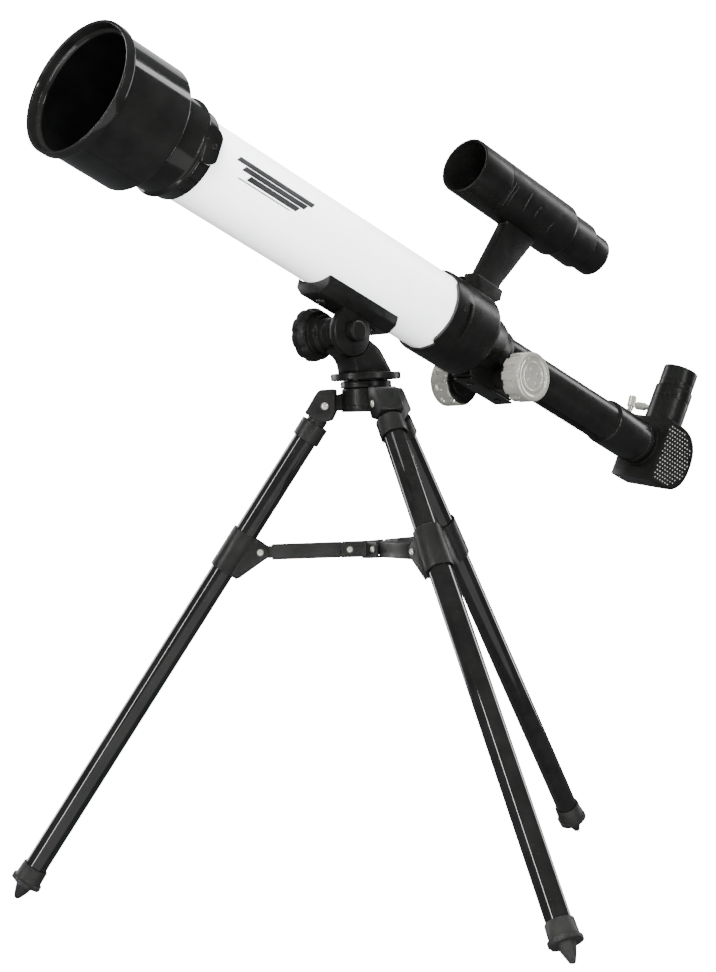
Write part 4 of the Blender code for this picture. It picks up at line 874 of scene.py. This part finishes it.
def flute(r, z, angle):
    """Ten broad grip flutes, fading out before the knob's face."""
    if r < KNOB - 0.0008:
        return r
    fade = min(1.0, max(0.0, (0.0372 - abs(z)) / 0.0014))
    wave = math.cos(10 * angle)
    dip = min(1.0, max(0.0, (wave - 0.10) / 0.35))
    return r - 0.00145 * dip * fade


def focus_knob(name, side):
    back, face = 0.0262, 0.0425
    at = PINION if side > 0 else PINION @ turn(180, 'X')
    rows = [(KNOB, face - 0.0010), (KNOB, 0.0378), (KNOB, 0.0372), (KNOB, 0.0367), (KNOB, 0.0362),
            (KNOB, 0.0357), (KNOB, 0.0340), (KNOB, back + 0.0010), (KNOB - 0.0006, back)]
    profile = ([(0.0, face - 0.0011), (0.0096, face - 0.0011), (0.0099, face - 0.0006),
                (0.0105, face - 0.0005), (0.0108, face - 0.0011), (0.0133, face - 0.0011),
                (0.0143, face - 0.0002), (0.0150, face),
                (KNOB - 0.0010, face)] + rows + [(0.0155, back), (0.0152, back + 0.0015),
                                                 (0.0, back + 0.0015)])
    shell = turned(profile, at, 240, False, 0.0002, flute)
    dots = [turned([(0, face - 0.0004), (0.0007, face - 0.0005), (0.0011, face - 0.0009),
                    (0.0013, face - 0.0014),
                    (0, face - 0.0014)], at @ moved(0.0056 * math.cos(a), 0.0056 * math.sin(a), 0), 24)
            for a in [math.radians(45 + 90 * i) for i in range(4)]]
    show(name + "_shell", loose(shell, *dots), NICKEL, "nickel", "focus_drive", name)
    core = turned([(0.0166, back - 0.0002), (0.0166, back - 0.0008), (0.0160, back - 0.0012),
                   (0.0150, back - 0.0008), (0.0110, back - 0.0002), (0.0100, back - 0.0008),
                   (0.0065, back - 0.0010), (0.0065, 0.0230), (0.0023, 0.0230),
                   (0.0023, back - 0.0002)], at, 96, True, 0.0002)
    show(name + "_core", core, SATIN_BLACK, "satin_black", "focus_drive")


# ------------------------------------------------------------------ diagonal and eyepiece
def d_outline(front, rear, low, high, count=48):
    middle, half = (low + high) / 2, (high - low) / 2
    centre = rear + half
    points = [(front, low)]
    for i in range(count + 1):
        angle = math.radians(-90 - 180 * i / count)
        c, s = math.cos(angle), math.sin(angle)
        points.append((centre + math.copysign(abs(c) ** 0.86, c) * half,
                       middle + math.copysign(abs(s) ** 0.86, s) * half))
    return points + [(front, high)]


def diagonal():
    front, rear, low, high = 0.0157, -0.0257, -0.0266, 0.0242
    box = plate(d_outline(front, rear, low, high), -BOX_HALF, BOX_HALF, (Z, Y), BEND, 0.0005)
    socket = rod(0.0178, (0, 0, front - 0.002), (0, 0, front + 0.0030), BEND, 96, ease=0.0005)
    riser = turned([(0.0, 0.0527), (EYE_TUBE, 0.0527), (EYE_TUBE, 0.0440), (EYE_TUBE - 0.0003, 0.0437),
                    (EYE_TUBE, 0.0434), (EYE_TUBE, high - 0.003), (0.0, high - 0.003)], EYE, 96, False,
                   0.0004)
    well = rod(BARREL + GAP, (0, -0.0140, 0), (0, 0.06, 0), BEND, 72)
    passage = rod(0.0105, (0, 0, 0), (0, 0, 0.03), BEND, 64)
    nose_room = rod(BARREL, (0, 0, front - 0.0015), (0, 0, 0.03), BEND, 72)
    thumb_hole = rod(0.0017, (-0.03, THUMB_LIFT, 0), (-0.005, THUMB_LIFT, 0), BEND, 32)
    inset = d_outline(front - 0.0020, rear + 0.0018, low + 0.0020, high - 0.0018)
    panels = [plate(inset, -BOX_HALF - 0.002, -BOX_HALF + 0.0003, (Z, Y), BEND),
              plate(inset, BOX_HALF - 0.0003, BOX_HALF + 0.002, (Z, Y), BEND)]
    weld(box, socket, riser)
    cut(box, well, passage, nose_room, thumb_hole, *panels)
    show("diagonal_moulding", box, SATIN_BLACK, "satin_black", "diagonal", "diagonal_box")
    dots = []
    pitch, drop = 0.0034, 0.0030
    middle, half = (low + high) / 2, (high - low) / 2
    for row in range(-8, 9):
        for column in range(-7, 8):
            z = -0.0050 + (column + 0.5 * (row % 2)) * pitch
            y = middle + row * drop
            inner = half - 0.0032
            inside = z > rear + half or math.hypot(z - rear - half, y - middle) < inner
            if inside and abs(y - middle) < half - 0.0032 and z < front - 0.0032:
                dots += [turned([(0, 0.00020), (0.0004, 0.00014), (0.00062, -0.0004), (0, -0.0004)],
                                BEND @ turn(a, 'Z') @ moved(BOX_HALF - 0.0002, y * f, z) @ turn(90, 'Y'),
                                10)
                         for a, f in ((0, 1), (180, -1))]
    show("diagonal_dots", loose(*dots), PALE_DOT, "satin_black", "diagonal")
    show("diagonal_nose_tube", tube(BARREL - GAP, 0.0108, front - 0.0012, 0.0490, BEND, 72), NICKEL,
         "nickel", "diagonal", "diagonal_nose")
    plug = rod(BARREL - 0.0001, (0, -0.0137, 0), (0, 0.0137, 0), BEND, 64)
    cut(plug, block((-0.02, 0, -0.03), (0.02, 0.03, 0.03), BEND @ turn(45, 'X')))
    show("diagonal_mirror_plug", plug, MIRROR, "mirror", "diagonal", "diagonal_mirror")

    low, high = 0.0527 + GAP, 0.0701
    eyepiece = turned([(0.0128, high), (0.0138, high - 0.0008), (0.0138, low + 0.0052),
                       (0.0135, low + 0.0049), (0.0138, low + 0.0046), (0.0138, low), (BARREL, low),
                       (BARREL, 0.0290), (0.0108, 0.0290), (0.0108, low + 0.004), (0.0070, low + 0.006),
                       (0.0070, high - 0.0050), (0.0088, high - 0.0008),
                       (0.0100, high)], EYE, 96, True, 0.0004)
    show("eyepiece_turned", eyepiece, SATIN_BLACK, "gloss_black", "eyepiece", "eyepiece")
    show("eye_lens_glass", lens_shape(0.0067, low + 0.0070, low + 0.0095, 0.0008, 0.0008, EYE), GLASS,
         "lens_glass", "eyepiece", "eye_lens")
    thumbscrew("eyepiece_thumbscrew", BEND, (0, THUMB_LIFT, 0), X * -1, "eyepiece_thumb")
    thumbscrew("holder_thumbscrew", OPTICS, (0, 0, HOLDER_SCREW_Z), Y, "holder_thumb")


def thumbscrew(name, place, foot, axis, body):
    start, neck = (0.0126 if axis.x else 0.0128), 0.0230
    aim = place @ Matrix.Translation(Vector(foot)) @ Z.rotation_difference(axis).to_matrix().to_4x4()
    knurl = lambda r, z, a: r - (0.00028 * (0.5 + 0.5 * math.cos(22 * a)) if r > 0.0030 else 0)
    made = turned([(0, neck + 0.0090), (0.0026, neck + 0.0090), (0.0032, neck + 0.0084),
                   (0.0032, neck + 0.0006), (0.0028, neck), (0.0022, neck), (0.0022, neck - 0.0025),
                   (0.0014, neck - 0.0028), (0.0014, start), (0, start)], aim, 132, False, 0.0002, knurl)
    show(name + "_knurled", made, NICKEL, "nickel", body, name)


# ------------------------------------------------------------------ finder
def finder():
    inner = 0.0194
    barrel = turned([(FINDER, FINDER_FRONT), (FINDER, -0.1040), (FINDER - 0.0002, -0.1044),
                     (FINDER, -0.1048), (FINDER, -0.1810), (0.0204, -0.1830), (0.0183, -0.1845),
                     (0.0183, -0.2094), (0.0177, -0.2100), (0.0141, -0.2100), (0.0141, -0.1900),
                     (inner, -0.1780), (inner, -0.1180), (0.0178, -0.1170), (0.0178, -0.1150),
                     (inner, -0.1150), (inner, FINDER_FRONT)], SCOPE, 144, True, 0.0005)
    show("finder_barrel", barrel, SATIN_BLACK, "satin_black", "finder", "finder_tube")
    show("finder_objective_glass", lens_shape(0.0191, -0.1147, -0.1120, 0.0012, 0.0002, SCOPE), GLASS,
         "lens_glass", "finder", "finder_objective")
    eye = turned([(0.0135, -0.1930), (0.0138, -0.1940), (0.0138, -0.2103), (0.0157, -0.2103),
                  (0.0157, -0.2290), (0.0145, -0.2303), (0.0085, -0.2303), (0.0070, -0.2250),
                  (0.0070, -0.2150), (0.0115, -0.2100), (0.0115, -0.1930)], SCOPE, 96, True, 0.0004)
    show("finder_eyepiece_turned", eye, SATIN_BLACK, "gloss_black", "finder_eye", "finder_eyepiece")
    show("finder_eye_glass", lens_shape(0.0067, -0.2230, -0.2205, 0.0007, 0.0007, SCOPE), GLASS,
         "lens_glass", "finder_eye", "finder_eye_lens")
    ribs = [grip(*row) for row in ((-0.1070, -54, 0), (-0.1100, -48, -4), (-0.1255, -38, 2),
                                   (-0.1385, -40, -11), (-0.1570, -50, -20))]
    show("finder_grips", loose(*ribs), CHARCOAL, "satin_black", "finder")
    top = FINDER_LIFT - FINDER - GAP
    outline = [(-0.1322, 0.0413), (-0.1328, 0.0455), (-0.1570, top - 0.0010), (-0.1610, top + 0.0040),
               (-0.1215, top + 0.0040), (-0.1250, top - 0.0010), (-0.1112, 0.0455), (-0.1098, 0.0413)]
    stalk = plate(outline, -0.0052, 0.0052, (Z, Y), OPTICS, 0.0005)
    foot = plate([(-0.0064, 0.0335), (0.0064, 0.0335), (0.0051, 0.0430), (-0.0051, 0.0430)], -0.1297,
                 -0.1045, (X, Y), OPTICS, 0.0003)
    seat = rod(FINDER + GAP, (0, FINDER_LIFT, -0.25), (0, FINDER_LIFT, 0), OPTICS, 144)
    weld(stalk, foot)
    cut(stalk, seat)
    show("finder_stalk", stalk, SATIN_BLACK, "satin_black", "finder", "finder_bracket")


def grip(z, low, high):
    """A low curved rib on the finder's near side."""
    bm = bmesh.new()
    count = 24
    rows = []
    for i in range(count + 1):
        t = i / count
        angle = math.radians(low + (high - low) * t)
        lift = 0.0009 * math.sin(math.pi * t) ** 0.5
        shift = z + 0.0020 * math.sin(math.pi * t) - 0.0010
        row = []
        for across, up in ((0.0008, -0.0004), (0.0004, lift * 0.8), (0.0, lift), (-0.0004, lift * 0.8),
                           (-0.0008, -0.0004)):
            r = FINDER + up
            row.append(bm.verts.new((r * math.cos(angle), r * math.sin(angle), shift + across)))
        rows.append(row)
    for a, b in zip(rows, rows[1:]):
        for i in range(5):
            j = (i + 1) % 5
            bm.faces.new((a[i], a[j], b[j], b[i]))
    bm.faces.new(rows[0])
    bm.faces.new(list(reversed(rows[-1])))
    return put(mesh_of(bm), SCOPE)


camera()
studio()
hub()
for leg_key in "abc":
    leg(leg_key)
brace_hub()
pan_post()
saddle()
tilt_clamp()
optical_tube()
focuser()
diagonal()
finder()
